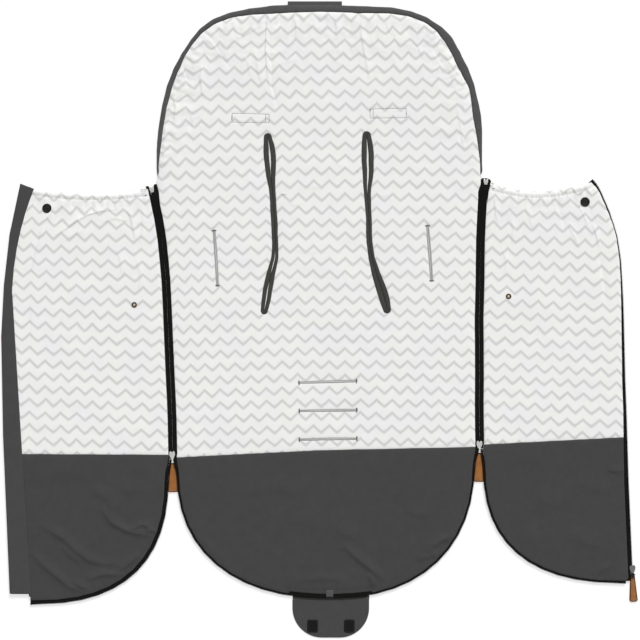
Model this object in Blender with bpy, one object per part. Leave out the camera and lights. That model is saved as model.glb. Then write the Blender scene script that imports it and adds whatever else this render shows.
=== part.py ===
"""Summer footmuff for a pushchair, opened flat with its lining side up.

X runs to the right, Y towards the head and Z up from the underside. The origin lies on the underside of the back
panel, in the middle between the lower ends of the two shoulder slits. Lengths are in metres.
"""

import math
from typing import NamedTuple

import bmesh
import bpy
from mathutils import Vector

MM = 0.001

# Fabric layers, from the underside up
CLEARANCE = 0.3 * MM
SHELL_THICKNESS = 0.8 * MM
WADDING_THICKNESS = 3 * MM
LINING_THICKNESS = 1 * MM
SEAM_ALLOWANCE = 10 * MM
SHELL_SETBACK = 1.6 * MM

# Back panel: levels are places along Y
HEAD_LEVEL = 487 * MM
HEAD_HALF_WIDTH = 251 * MM
HEAD_RIM_TOP = 10 * MM
HEAD_RIM_LEFT = 5.5 * MM
HEAD_RIM_RIGHT = 10.5 * MM
HEAD_LEDGE = 2 * MM
CHEST_LEVEL = 201.5 * MM
FOOT_LEVEL = -431 * MM
FOOT_CENTRE = 15 * MM
FOOT_BAND = 3 * MM
FOOT_SEAM_DROP = 4 * MM
FOOT_SEAM_RISE = 3 * MM
HEAD_EXPONENT = 3.3
FOOT_EXPONENT = 2.3
HEAD_ARC_START_SHARE = 0.1

# Side zips: widths run from the middle line to the chain
LEFT_CHEST_WIDTH = 257.5 * MM
LEFT_WAIST_WIDTH = 229 * MM
LEFT_SLIDER_LEVEL = -209 * MM
RIGHT_CHEST_WIDTH = 251.5 * MM
RIGHT_WAIST_WIDTH = 247 * MM
RIGHT_SLIDER_LEVEL = -193 * MM
ZIP_BAND = 14 * MM
TAPE_THICKNESS = 0.8 * MM
TAPE_OVERHANG = 10 * MM
TAPE_EAR_WIDTH = 2.5 * MM
TAPE_END_GAP = 2 * MM
COIL_WIDTH = 2.4 * MM
COIL_THICKNESS = 1.6 * MM
COIL_GAP = 1.2 * MM
OPEN_RUN = 25 * MM
BACK_OPEN_STEP = 7.5 * MM
COVER_OPEN_STEP = 6 * MM
COVER_OPEN_START = 4 * MM
TOP_STOP_LENGTH = 5 * MM
TOP_STOP_WIDTH = 6 * MM
TOP_STOP_THICKNESS = 1 * MM
TOP_STOP_RADIUS = 1 * MM
ZIP_END_WIDTH = 11 * MM
ZIP_END_LENGTH = 13 * MM
ZIP_END_THICKNESS = 0.8 * MM

# Covers: widths run from the side zip's chain to the centre zip's seam, and lengths from the origin's level
LEFT_HEM_WIDTH = 186.5 * MM
LEFT_HEM_LEVEL = 203.5 * MM
LEFT_HEM_SAG = 7.5 * MM
LEFT_BREAST_WIDTH = 220.5 * MM
LEFT_BREAST_LEVEL = 46.5 * MM
LEFT_TOE_WIDTH = 219.5 * MM
LEFT_TOE_LEVEL = -440 * MM
LEFT_COVER_BAND = 5.4 * MM
LEFT_SEAM_RISE = 1 * MM
RIGHT_HEM_WIDTH = 164.5 * MM
RIGHT_HEM_LEVEL = 213.5 * MM
RIGHT_HEM_SAG = 14 * MM
RIGHT_BREAST_WIDTH = 203.5 * MM
RIGHT_BREAST_LEVEL = 130 * MM
RIGHT_TOE_WIDTH = 231 * MM
RIGHT_TOE_LEVEL = -407.5 * MM
RIGHT_COVER_BAND = 3 * MM
RIGHT_SEAM_RISE = 11 * MM
COVER_EXPONENT = 2.55
BREAST_CURVE_SHARES = ((0.38, 0.2), (0.9, 0.55))
HINGE_CLEARANCE = 0.15 * MM
FOLD_ROOM = 1.6 * MM
ELASTIC_WIDTH = 8 * MM
ELASTIC_END_GAP = 4 * MM
CENTRE_BAND = 6.4 * MM

# Zip guard on the left cover. The shares are of the seam's length and of the guard's width at the foot
GUARD_THICKNESS = 0.8 * MM
GUARD_LIFT = 0.4 * MM
GUARD_FOOT_WIDTH = 31.5 * MM
GUARD_OVERLAP = 1 * MM
GUARD_WIDTH_SHARES = ((0, 0.69), (0.12, 0.46), (0.24, 0.39), (0.36, 0.64), (0.6, 0.85), (0.98, 1))

# Shoulder slits run straight down from the head and then bend outwards
SLIT_GAP = 6 * MM
SLIT_BINDING_WIDTH = 5 * MM
SLIT_BINDING_LIFT = 0.6 * MM
SLIT_TOP_LEVEL = 283 * MM
SLIT_BEND_LEVEL = 108 * MM
SLIT_END_LEVEL = 16 * MM
LEFT_SLIT_DISTANCE = 74.5 * MM
LEFT_SLIT_FLARE = 11 * MM
RIGHT_SLIT_DISTANCE = 75 * MM
RIGHT_SLIT_FLARE = 27 * MM

# Lap and crotch slots
SLOT_GAP = 5 * MM
SLOT_STITCH_WIDTH = 1.6 * MM
SLOT_STITCH_LIFT = 0.3 * MM
LAP_SLOT_LENGTH = 86 * MM
LEFT_LAP_DISTANCE = 162.5 * MM
LEFT_LAP_LEVEL = 96 * MM
RIGHT_LAP_DISTANCE = 170 * MM
RIGHT_LAP_LEVEL = 103.5 * MM
CROTCH_SLOT_LENGTH = 89 * MM
CROTCH_CENTRE = 12 * MM
CROTCH_LEVEL = -95.5 * MM
CROTCH_PITCH = 44.5 * MM

# Strap behind the head, and the tab at its top
STRAP_LENGTH = 270 * MM
STRAP_WIDTH = 15 * MM
STRAP_THICKNESS = 1.2 * MM
STRAP_LEVEL = 317 * MM
TAB_WIDTH = 84 * MM
TAB_REACH = 7 * MM
TAB_DEPTH = 6 * MM
TAB_THICKNESS = 2 * MM
TAB_CENTRE = -8 * MM

# Toe flap, its hook pads and the covers' loop pads
FLAP_WIDTH = 119 * MM
FLAP_LENGTH = 59 * MM
FLAP_THICKNESS = 1.6 * MM
FLAP_CORNER_RADIUS = 28 * MM
FLAP_SHIFT = 2 * MM
FLAP_HINGE_DROP = 3 * MM
PAD_WIDTH = 16 * MM
PAD_LENGTH = 19 * MM
PAD_THICKNESS = 1 * MM
PAD_SPREAD = 28.5 * MM
PAD_EDGE = 18.5 * MM
PAD_CORNER_RADIUS = 2 * MM
LOOP_PAD_SIZE = 20 * MM
LOOP_PAD_INSET = 14 * MM

# Press studs: a face on the lining, a cap let into the shell and the barrel between them
STUD_CAP_RADIUS = 5 * MM
STUD_CAP_THICKNESS = 1 * MM
STUD_BARREL_RADIUS = 1.6 * MM
BLACK_STUD_RADIUS = 7.3 * MM
BLACK_STUD_THICKNESS = 0.9 * MM
BLACK_STUD_DROP = 30.6 * MM
LEFT_BLACK_STUD_INSET = 21 * MM
RIGHT_BLACK_STUD_INSET = 5.4 * MM
BRASS_STUD_RADIUS = 4.3 * MM
BRASS_STUD_THICKNESS = 0.7 * MM
BRASS_STUD_DISTANCE = 42.5 * MM
LEFT_BRASS_STUD_LEVEL = 26.5 * MM
RIGHT_BRASS_STUD_LEVEL = 37 * MM

# Sliders, links and leather pullers
SLIDER_LENGTH = 12 * MM
SLIDER_WIDTH = 9 * MM
SLIDER_TIP_WIDTH = 3.2 * MM
SLIDER_PLATE = 0.8 * MM
SLIDER_FLANGE = 0.6 * MM
SLIDER_POST_LENGTH = 3 * MM
BAIL_WIDTH = 1.6 * MM
BAIL_LENGTH = 5 * MM
BAIL_WALL = 0.5 * MM
BAIL_FOOT = 1 * MM
LINK_BAR = 0.5 * MM
LINK_WIDTH = 4.4 * MM
LINK_LENGTH = 13 * MM
PULLER_LENGTH = 46 * MM
PULLER_NECK_WIDTH = 6.4 * MM
PULLER_END_WIDTH = 16 * MM
PULLER_THICKNESS = 2 * MM
PULLER_CORNER_RADIUS = 3 * MM
PULLER_GRIP = 2 * MM
BOX_LENGTH = 10 * MM
BOX_WIDTH = 6 * MM
BOX_WALL = 0.35 * MM
BOX_TOE_GAP = 2 * MM

# Counts of steps along curves
ARC_STEPS = 12
HEAD_STEPS = 12
CURVE_STEPS = 6
HEM_STEPS = 8
ROUND_SIDES = 20
END_STEPS = 6
CORNER_STEPS = 4

# How far a cutter runs past what it cuts
OVERRUN = 2 * MM

# Heights of the layers
WADDING_BOTTOM = SHELL_THICKNESS + CLEARANCE
WADDING_TOP = WADDING_BOTTOM + WADDING_THICKNESS
LINING_BOTTOM = WADDING_TOP + CLEARANCE
LINING_TOP = LINING_BOTTOM + LINING_THICKNESS
TAPE_TOP = LINING_BOTTOM - CLEARANCE
TAPE_BOTTOM = TAPE_TOP - TAPE_THICKNESS
RIM_TOP = TAPE_BOTTOM - CLEARANCE
COIL_MIDDLE = (TAPE_TOP + TAPE_BOTTOM) / 2
COIL_BOTTOM = COIL_MIDDLE - COIL_THICKNESS / 2
COIL_TOP = COIL_MIDDLE + COIL_THICKNESS / 2
COVER_FOLD_HEIGHT = LINING_TOP + FOLD_ROOM
GUARD_BOTTOM = LINING_TOP + GUARD_LIFT
GUARD_FOLD_HEIGHT = GUARD_BOTTOM + GUARD_THICKNESS + HINGE_CLEARANCE
FLAP_FOLD_HEIGHT = COVER_FOLD_HEIGHT + (FLAP_THICKNESS + PAD_THICKNESS + CLEARANCE) / 2
PULLER_DROP = COIL_THICKNESS / 2 + SLIDER_PLATE + 2 * CLEARANCE + LINK_BAR / 2

# Distances from the side zip's chain
COIL_NEAR = COIL_GAP / 2
COIL_FAR = COIL_NEAR + COIL_WIDTH
TAPE_NEAR = COIL_FAR + CLEARANCE
SHELL_OFFSET = ZIP_BAND / 2 + SHELL_SETBACK
TAPE_UNDER = SHELL_SETBACK + SEAM_ALLOWANCE - CLEARANCE
HINGE_OFFSET = ZIP_BAND / 2
SLIDER_REACH = SLIDER_LENGTH / 2 + 2 * CLEARANCE


class Side(NamedTuple):
    """One side of the footmuff: sign is -1 on the left and 1 on the right."""

    name: str
    sign: int
    chest_width: float
    waist_width: float
    slider_level: float
    hem_width: float
    hem_level: float
    hem_sag: float
    breast_width: float
    breast_level: float
    toe_width: float
    toe_level: float
    band: float
    seam_rise: float
    black_stud_inset: float
    brass_stud_level: float


LEFT = Side(
    name="left",
    sign=-1,
    chest_width=LEFT_CHEST_WIDTH,
    waist_width=LEFT_WAIST_WIDTH,
    slider_level=LEFT_SLIDER_LEVEL,
    hem_width=LEFT_HEM_WIDTH,
    hem_level=LEFT_HEM_LEVEL,
    hem_sag=LEFT_HEM_SAG,
    breast_width=LEFT_BREAST_WIDTH,
    breast_level=LEFT_BREAST_LEVEL,
    toe_width=LEFT_TOE_WIDTH,
    toe_level=LEFT_TOE_LEVEL,
    band=LEFT_COVER_BAND,
    seam_rise=LEFT_SEAM_RISE,
    black_stud_inset=LEFT_BLACK_STUD_INSET,
    brass_stud_level=LEFT_BRASS_STUD_LEVEL,
)
RIGHT = Side(
    name="right",
    sign=1,
    chest_width=RIGHT_CHEST_WIDTH,
    waist_width=RIGHT_WAIST_WIDTH,
    slider_level=RIGHT_SLIDER_LEVEL,
    hem_width=RIGHT_HEM_WIDTH,
    hem_level=RIGHT_HEM_LEVEL,
    hem_sag=RIGHT_HEM_SAG,
    breast_width=RIGHT_BREAST_WIDTH,
    breast_level=RIGHT_BREAST_LEVEL,
    toe_width=RIGHT_TOE_WIDTH,
    toe_level=RIGHT_TOE_LEVEL,
    band=RIGHT_COVER_BAND,
    seam_rise=RIGHT_SEAM_RISE,
    black_stud_inset=RIGHT_BLACK_STUD_INSET,
    brass_stud_level=RIGHT_BRASS_STUD_LEVEL,
)
SIDES = (LEFT, RIGHT)


class Slot(NamedTuple):
    """A harness slot: the way its gap runs, half the gap, and its ring of binding or stitches."""

    name: str
    path: list
    half_gap: float
    ring_width: float
    lift: float
    material: str


# Outlines and paths are lists of Vectors in the plane of the fabric


def rotated(vector, angle):
    cosine = math.cos(angle)
    sine = math.sin(angle)
    return Vector((vector.x * cosine - vector.y * sine, vector.x * sine + vector.y * cosine))


def counter_clockwise(points):
    following = points[1:] + points[:1]
    area = sum(a.x * b.y - b.x * a.y for a, b in zip(points, following))
    return points if area > 0 else points[::-1]


def left_normal(start, end):
    """The unit vector at a right angle to the way from start to end, on its left."""
    along = (end - start).normalized()
    return Vector((-along.y, along.x))


def mitred(point, before, after, distance):
    """The point moved so that both of its edges, whose normals are given, move by distance."""
    middle = (before + after).normalized()
    return point + middle * distance / middle.dot(before)


def shifted_path(points, distance):
    """An open path moved to its left by distance."""
    normals = [left_normal(a, b) for a, b in zip(points, points[1:])]
    before = normals[:1] + normals
    after = normals + normals[-1:]
    return [mitred(p, b, a, distance) for p, b, a in zip(points, before, after)]


def grown_outline(points, distance):
    """A closed outline moved outwards by distance, or inwards where it is negative."""
    ring = counter_clockwise(points)
    normals = [left_normal(a, b) for a, b in zip(ring, ring[1:] + ring[:1])]
    before = normals[-1:] + normals[:-1]
    return [mitred(p, b, a, -distance) for p, b, a in zip(ring, before, normals)]


def place_along(path, share):
    """The point at this share of a path's length, and the path's left normal there."""
    pairs = list(zip(path, path[1:]))
    left = sum((b - a).length for a, b in pairs) * share
    for a, b in pairs:
        length = (b - a).length
        if left <= length or b is path[-1]:
            return a.lerp(b, left / length), left_normal(a, b)
        left -= length


def quarter(radii, exponent, start_share=0.0, end_share=0.0, steps=ARC_STEPS):
    """A quarter of a superellipse round the origin, from where Y is start_share of its radius to where X is
    end_share of its radius."""
    start = math.asin(start_share ** (exponent / 2))
    end = math.acos(end_share ** (exponent / 2))
    points = []
    for step in range(steps + 1):
        angle = start + (end - start) * step / steps
        across = max(math.cos(angle), 0) ** (2 / exponent)
        along = max(math.sin(angle), 0) ** (2 / exponent)
        points.append(Vector((radii[0] * across, radii[1] * along)))
    return points


def bezier(start, first, second, end, steps):
    points = []
    for step in range(steps + 1):
        t = step / steps
        u = 1 - t
        points.append(start * u**3 + first * 3 * u * u * t + second * 3 * u * t * t + end * t**3)
    return points


def box(width, length, centre):
    corners = ((-1, -1), (1, -1), (1, 1), (-1, 1))
    return [centre + Vector((x * width / 2, y * length / 2)) for x, y in corners]


def rounded_corner(middle, radius, corner):
    """The round of a corner, counted counter-clockwise from the one at the upper right."""
    angles = [math.pi / 2 * (corner + step / CORNER_STEPS) for step in range(CORNER_STEPS + 1)]
    return [middle + rotated(Vector((radius, 0)), angle) for angle in angles]


def rounded_box(width, length, radius, centre):
    points = []
    for corner, (x, y) in enumerate(((1, 1), (-1, 1), (-1, -1), (1, -1))):
        middle = centre + Vector((x * (width / 2 - radius), y * (length / 2 - radius)))
        points += rounded_corner(middle, radius, corner)
    return points


def circle(radius, centre):
    angles = [2 * math.pi * side / ROUND_SIDES for side in range(ROUND_SIDES)]
    return [centre + rotated(Vector((radius, 0)), angle) for angle in angles]


def half_round(middle, first):
    """The points strictly between first and the one opposite it, counter-clockwise round middle."""
    arm = first - middle
    return [middle + rotated(arm, math.pi * step / END_STEPS) for step in range(1, END_STEPS)]


def stadium(path, half_width):
    """The outline of a slot of this half width along an open path, with round ends."""
    left = shifted_path(path, half_width)
    right = shifted_path(path, -half_width)
    far_end = half_round(path[-1], right[-1])
    near_end = half_round(path[0], left[0])
    return right + far_end + left[::-1] + near_end


# Paths along the side zips and round the covers


def zip_lean(side):
    """The angle by which a side zip leans away from the middle line towards the head."""
    return math.atan2(side.chest_width - side.waist_width, CHEST_LEVEL - side.slider_level)


def chain_point(side, level, offset=0.0):
    """The place on a side zip's chain at this level, moved towards the back's middle by offset."""
    lean = zip_lean(side)
    distance = side.chest_width - math.tan(lean) * (CHEST_LEVEL - level)
    return Vector((side.sign * (distance - offset * math.cos(lean)), level + offset * math.sin(lean)))


def chain_angle(side):
    """The turn about Z that takes +Y to the way up a side zip."""
    return -side.sign * zip_lean(side)


def open_level(side):
    """The level at which the open zip's halves start round the foot."""
    return side.slider_level - OPEN_RUN


def back_arc(side, inset, end_gap=0.0):
    """The foot's curve on one side, inset from the coil's edge and ending end_gap short of the toe's middle."""
    half_width = side.waist_width - side.sign * FOOT_CENTRE - BACK_OPEN_STEP - inset
    depth = open_level(side) - FOOT_LEVEL - inset
    arc = quarter((half_width, depth), FOOT_EXPONENT, end_share=end_gap / half_width)
    return [Vector((FOOT_CENTRE + side.sign * p.x, open_level(side) - p.y)) for p in arc]


def back_edge(side, top, offset, inset, end_gap=0.0):
    """The way down the back's half of a side zip and round the foot to the toe."""
    straight = [chain_point(side, level, offset) for level in (top, side.slider_level)]
    return straight + back_arc(side, inset, end_gap)


def toe_point(side):
    """The lining's corner, where the centre zip's seam meets the cover's lower edge."""
    return Vector((side.sign * (side.waist_width + side.toe_width), side.toe_level + side.band))


def cover_arc(side, inset, end_gap=0.0):
    """The cover's lower curve, inset from the coil's edge and ending end_gap short of the centre zip's seam."""
    half_width = side.toe_width - COVER_OPEN_STEP - inset
    depth = open_level(side) - side.toe_level - inset
    arc = quarter((half_width, depth), COVER_EXPONENT, end_share=end_gap / half_width)
    middle = toe_point(side).x
    return [Vector((middle - side.sign * p.x, open_level(side) - p.y)) for p in arc]


def centre_seam(side):
    """The way down a cover's centre zip seam: a curve from the hem to the breast, then straight to the toe."""
    hem = Vector((side.sign * (side.chest_width + side.hem_width), side.hem_level))
    breast = Vector((side.sign * (side.chest_width + side.breast_width), side.breast_level))
    span = breast - hem
    handles = [hem + Vector((span.x * x, span.y * y)) for x, y in BREAST_CURVE_SHARES]
    return bezier(hem, *handles, breast, CURVE_STEPS) + [toe_point(side)]


def centre_line(side, outward, toe_gap=0.0):
    """The centre seam moved away from the cover, and ending toe_gap short of the toe."""
    path = shifted_path(centre_seam(side), side.sign * outward)
    path[-1] -= (path[-1] - path[-2]).normalized() * toe_gap
    return path


def hem_point(side, share):
    """A point of the hem, which sags towards the toe, at this share of the way to the centre seam."""
    start = chain_point(side, side.hem_level, -HINGE_OFFSET - HINGE_CLEARANCE)
    sag = 4 * share * (1 - share) * side.hem_sag
    return start.lerp(centre_seam(side)[0], share) - Vector((0, sag))


def cover_edge(side, end_gap=0.0):
    """The way down the lining's edge along the side zip and round the foot towards the toe."""
    turn = chain_point(side, side.slider_level, -HINGE_OFFSET - HINGE_CLEARANCE)
    return [hem_point(side, 0), turn] + cover_arc(side, side.band, end_gap)


def cover_outline(side):
    """The outline of a cover's whole lining."""
    hem = [hem_point(side, step / HEM_STEPS) for step in range(HEM_STEPS - 1, 0, -1)]
    return counter_clockwise(cover_edge(side)[:-1] + centre_seam(side)[::-1] + hem)


def head_arc(left_inset=0.0, right_inset=0.0, top_inset=0.0):
    """The round of the head, from right to left."""
    height = HEAD_LEVEL - CHEST_LEVEL - top_inset
    halves = []
    for sign, inset in ((1, right_inset), (-1, left_inset)):
        radii = (HEAD_HALF_WIDTH - inset, height)
        arc = quarter(radii, HEAD_EXPONENT, HEAD_ARC_START_SHARE, steps=HEAD_STEPS)
        halves.append([Vector((sign * p.x, CHEST_LEVEL + p.y)) for p in arc])
    return halves[0] + halves[1][-2::-1]


def lining_head(inset=0.0):
    return head_arc(HEAD_RIM_LEFT + inset, HEAD_RIM_RIGHT + inset, HEAD_RIM_TOP + inset)


def back_outline(head, offset, inset):
    """The outline of one layer of the back, from its head and its distances to the zip's chain and coil."""
    top = CHEST_LEVEL + TAPE_OVERHANG + CLEARANCE
    left = back_edge(LEFT, top, offset, inset)
    right = back_edge(RIGHT, top, offset, inset)
    return right[::-1] + head + left[:-1]


# Solids and how they are put together


def clear_scene():
    for obj in list(bpy.data.objects):
        bpy.data.objects.remove(obj)


def new_material(name, colour, roughness, metallic=0.0):
    material = bpy.data.materials.new(name)
    material.use_nodes = True
    shader = material.node_tree.nodes["Principled BSDF"]
    shader.inputs["Base Color"].default_value = (*colour, 1)
    shader.inputs["Roughness"].default_value = roughness
    shader.inputs["Metallic"].default_value = metallic
    material.diffuse_color = (*colour, 1)
    return material


def solid(name, shape, material):
    """Makes an object of a closed shape."""
    bmesh.ops.recalc_face_normals(shape, faces=shape.faces)
    mesh = bpy.data.meshes.new(name)
    shape.to_mesh(mesh)
    shape.free()
    if material:
        mesh.materials.append(material)
    obj = bpy.data.objects.new(name, mesh)
    bpy.context.scene.collection.objects.link(obj)
    return obj


def slab(name, outline, bottom, top, material=None):
    """A flat piece with this outline between two heights."""
    shape = bmesh.new()
    face = shape.faces.new([shape.verts.new((p.x, p.y, bottom)) for p in outline])
    raised = bmesh.ops.extrude_face_region(shape, geom=[face])["geom"]
    lifted = [e for e in raised if isinstance(e, bmesh.types.BMVert)]
    bmesh.ops.translate(shape, verts=lifted, vec=(0, 0, top - bottom))
    return solid(name, shape, material)


def strip(name, near, far, bottom, top, material):
    """A strip of tape, coil or elastic between two paths."""
    return slab(name, counter_clockwise(near + far[::-1]), bottom, top, material)


def turned(name, profile, material=None):
    """A round piece from (radius, height) pairs, which start and end on its axis."""
    shape = bmesh.new()
    ring = [shape.verts.new((radius, 0, height)) for radius, height in profile]
    edges = [shape.edges.new(pair) for pair in zip(ring, ring[1:])]
    centre = (0, 0, 0)
    bmesh.ops.spin(shape, geom=ring + edges, cent=centre, axis=(0, 0, 1), angle=2 * math.pi, steps=ROUND_SIDES)
    bmesh.ops.remove_doubles(shape, verts=shape.verts, dist=CLEARANCE / ROUND_SIDES)
    obj = solid(name, shape, material)
    obj.data.shade_smooth()
    obj.data.set_sharp_from_angle(angle=math.radians(40))
    return obj


def combine(obj, other, operation):
    """Adds a Boolean with another object, which becomes a hidden helper."""
    other.hide_render = True
    other.display_type = "WIRE"
    modifier = obj.modifiers.new(f"{operation.lower()} {other.name}", "BOOLEAN")
    modifier.operation = operation
    modifier.object = other


def cut(obj, cutter):
    combine(obj, cutter, "DIFFERENCE")


def join(obj, other):
    combine(obj, other, "UNION")


def put(obj, place, angle=0.0):
    obj.location = place
    obj.rotation_euler = (0, 0, angle)
    return obj


def axis_empty(name, place, angle=0.0):
    """An empty on a joint's axis, turned so that its Y runs along the zip or the fold."""
    empty = put(bpy.data.objects.new(name, None), place, angle)
    bpy.context.scene.collection.objects.link(empty)
    return empty


def carry(parent, pieces):
    """Parents pieces to an object without moving them."""
    bpy.context.view_layer.update()
    for piece in pieces:
        piece.parent = parent
        piece.matrix_parent_inverse = parent.matrix_world.inverted()


# Harness slots


def slit_path(side, distance, flare):
    end = SLIT_BINDING_WIDTH + SLIT_GAP / 2
    straight = side.sign * distance
    bent = side.sign * (distance + flare)
    top = Vector((straight, SLIT_TOP_LEVEL - end))
    return [top, Vector((straight, SLIT_BEND_LEVEL)), Vector((bent, SLIT_END_LEVEL + end))]


def lap_path(side, distance, level):
    half = Vector((0, LAP_SLOT_LENGTH / 2))
    middle = Vector((side.sign * distance, level))
    return [middle + half, middle - half]


def crotch_path(row):
    half = Vector((CROTCH_SLOT_LENGTH / 2, 0))
    middle = Vector((CROTCH_CENTRE, CROTCH_LEVEL - row * CROTCH_PITCH))
    return [middle + half, middle - half]


def slit(side, distance, flare):
    path = slit_path(side, distance, flare)
    name = f"slit_binding_{side.name}"
    return Slot(name, path, SLIT_GAP / 2, SLIT_BINDING_WIDTH, SLIT_BINDING_LIFT, "binding")


def stitched_slot(name, path):
    return Slot(name, path, SLOT_GAP / 2, SLOT_STITCH_WIDTH, SLOT_STITCH_LIFT, "thread")


def harness_slots():
    slots = [
        slit(LEFT, LEFT_SLIT_DISTANCE, LEFT_SLIT_FLARE),
        slit(RIGHT, RIGHT_SLIT_DISTANCE, RIGHT_SLIT_FLARE),
        stitched_slot("lap_slot_stitching_left", lap_path(LEFT, LEFT_LAP_DISTANCE, LEFT_LAP_LEVEL)),
        stitched_slot("lap_slot_stitching_right", lap_path(RIGHT, RIGHT_LAP_DISTANCE, RIGHT_LAP_LEVEL)),
    ]
    for row, name in enumerate(("upper", "middle", "lower")):
        slots.append(stitched_slot(f"crotch_slot_stitching_{name}", crotch_path(row)))
    return slots


def make_slot_ring(slot, materials):
    outline = stadium(slot.path, slot.half_gap + slot.ring_width)
    top = LINING_TOP + slot.lift
    ring = slab(slot.name, outline, 0, top, materials[slot.material])
    cut(ring, slab(f"{slot.name} gap", stadium(slot.path, slot.half_gap), -OVERRUN, top + OVERRUN))


def cut_slots(obj, slots):
    """Opens a layer of the back round every slot's ring."""
    for slot in slots:
        outline = stadium(slot.path, slot.half_gap + slot.ring_width + CLEARANCE)
        cut(obj, slab(f"{obj.name} {slot.name} cutter", outline, -OVERRUN, LINING_TOP + OVERRUN))


# Back panel


def strap_block(name, grow, bottom, top, material=None):
    """A block round the rear strap, larger than it by grow on every side."""
    outline = box(STRAP_LENGTH + 2 * grow, STRAP_WIDTH + 2 * grow, Vector((0, STRAP_LEVEL)))
    return slab(name, outline, bottom, top, material)


def tab_block(name, grow, material=None):
    """The tab at the top of the head, or the space for it, larger by grow on every side."""
    middle = Vector((TAB_CENTRE, HEAD_LEVEL + (TAB_REACH - TAB_DEPTH) / 2))
    outline = box(TAB_WIDTH + 2 * grow, TAB_REACH + TAB_DEPTH + 2 * grow, middle)
    half = TAB_THICKNESS / 2 + grow
    return slab(name, outline, LINING_TOP / 2 - half, LINING_TOP / 2 + half, material)


def flap_centre():
    return FOOT_CENTRE + FLAP_SHIFT


def flap_root():
    """The tongue of shell that the toe flap is sewn to."""
    top = FOOT_LEVEL + FOOT_BAND + SHELL_SETBACK + SEAM_ALLOWANCE / 2
    bottom = FOOT_LEVEL - FLAP_HINGE_DROP + CLEARANCE
    outline = box(FLAP_WIDTH, top - bottom, Vector((flap_centre(), (top + bottom) / 2)))
    return slab("flap root", outline, 0, FLAP_THICKNESS)


def make_back_shell(slots, materials):
    """The outer fabric: a sheet with its seam allowance turned up along the zips and a full rim round the head."""
    inset = FOOT_BAND + SHELL_SETBACK
    outline = back_outline(head_arc(), SHELL_OFFSET, inset)
    shell = slab("back_shell", outline, 0, LINING_TOP, materials["shell"])
    above = back_outline(lining_head(-CLEARANCE), SHELL_OFFSET - OVERRUN, inset - OVERRUN)
    cut(shell, slab("space above the seam allowance", above, RIM_TOP, LINING_TOP + OVERRUN))
    turned_in = SEAM_ALLOWANCE - CLEARANCE
    inner = back_outline(lining_head(HEAD_LEDGE - CLEARANCE), SHELL_OFFSET + turned_in, inset + turned_in)
    cut(shell, slab("space for the wadding", inner, SHELL_THICKNESS, LINING_TOP + OVERRUN))
    roof = STRAP_THICKNESS + CLEARANCE
    raised = CLEARANCE + SHELL_THICKNESS
    join(shell, strap_block("shell over the strap", raised, SHELL_THICKNESS / 2, roof + SHELL_THICKNESS))
    cut(shell, strap_block("space for the strap", CLEARANCE, -OVERRUN, roof))
    cut(shell, tab_block("space for the tab", CLEARANCE))
    join(shell, flap_root())
    cut_slots(shell, slots)


def make_wadding(slots, materials):
    inset = FOOT_BAND + SHELL_SETBACK + SEAM_ALLOWANCE
    outline = back_outline(lining_head(HEAD_LEDGE), SHELL_OFFSET + SEAM_ALLOWANCE, inset)
    wadding = slab("back_wadding", outline, WADDING_BOTTOM, WADDING_TOP, materials["wadding"])
    roof = STRAP_THICKNESS + SHELL_THICKNESS + 2 * CLEARANCE
    cut(wadding, strap_block("hollow over the strap", 2 * CLEARANCE + SHELL_THICKNESS, -OVERRUN, roof))
    cut_slots(wadding, slots)


def beyond_seam(name, outline, seam, take_above):
    """A block over all of an outline on one side of the seam between the two linings."""
    way = -1 if take_above else 1
    seam = [p + Vector((0, way * CLEARANCE / 2)) for p in seam]
    low = min(p.x for p in outline) - OVERRUN
    high = max(p.x for p in outline) + OVERRUN
    far = max(p.y for p in outline) + OVERRUN if take_above else min(p.y for p in outline) - OVERRUN
    across = [Vector((low, seam[0].y))] + seam + [Vector((high, seam[-1].y))]
    block = counter_clockwise(across + [Vector((high, far)), Vector((low, far))])
    return slab(name, block, LINING_BOTTOM - OVERRUN, LINING_TOP + OVERRUN)


def make_lining_pair(prefix, outline, seam, materials):
    """The patterned lining and the dark foot lining, which meet at a seam from left to right."""
    pieces = []
    for suffix, take_above in (("lining", False), ("foot_lining", True)):
        name = f"{prefix}{suffix}"
        lining = slab(name, outline, LINING_BOTTOM, LINING_TOP, materials[suffix])
        cut(lining, beyond_seam(f"beyond {name}", outline, seam, take_above))
        pieces.append(lining)
    return pieces


def make_back_linings(slots, materials):
    outline = back_outline(lining_head(), ZIP_BAND / 2, FOOT_BAND)
    left_level = LEFT.slider_level - FOOT_SEAM_DROP
    right_level = RIGHT.slider_level - FOOT_SEAM_DROP
    middle = Vector((0, (left_level + right_level) / 2 + FOOT_SEAM_RISE))
    left_end = Vector((SHELL_OFFSET - LEFT.waist_width, left_level))
    right_end = Vector((RIGHT.waist_width - SHELL_OFFSET, right_level))
    seam = [left_end, middle, right_end]
    cut_slots(make_lining_pair("back_", outline, seam, materials)[0], slots)


def make_back(materials):
    slots = harness_slots()
    make_back_shell(slots, materials)
    make_wadding(slots, materials)
    make_back_linings(slots, materials)
    for slot in slots:
        make_slot_ring(slot, materials)
    tab_block("top_tab", 0, materials["shell"])
    strap_block("rear_strap", 0, 0, STRAP_THICKNESS, materials["elastic"])
    make_zip_end(materials)
    for side in SIDES:
        make_side_zip(side, materials)
        make_top_stop(side, materials)


# Side zips, as far as they stay with the back


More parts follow.
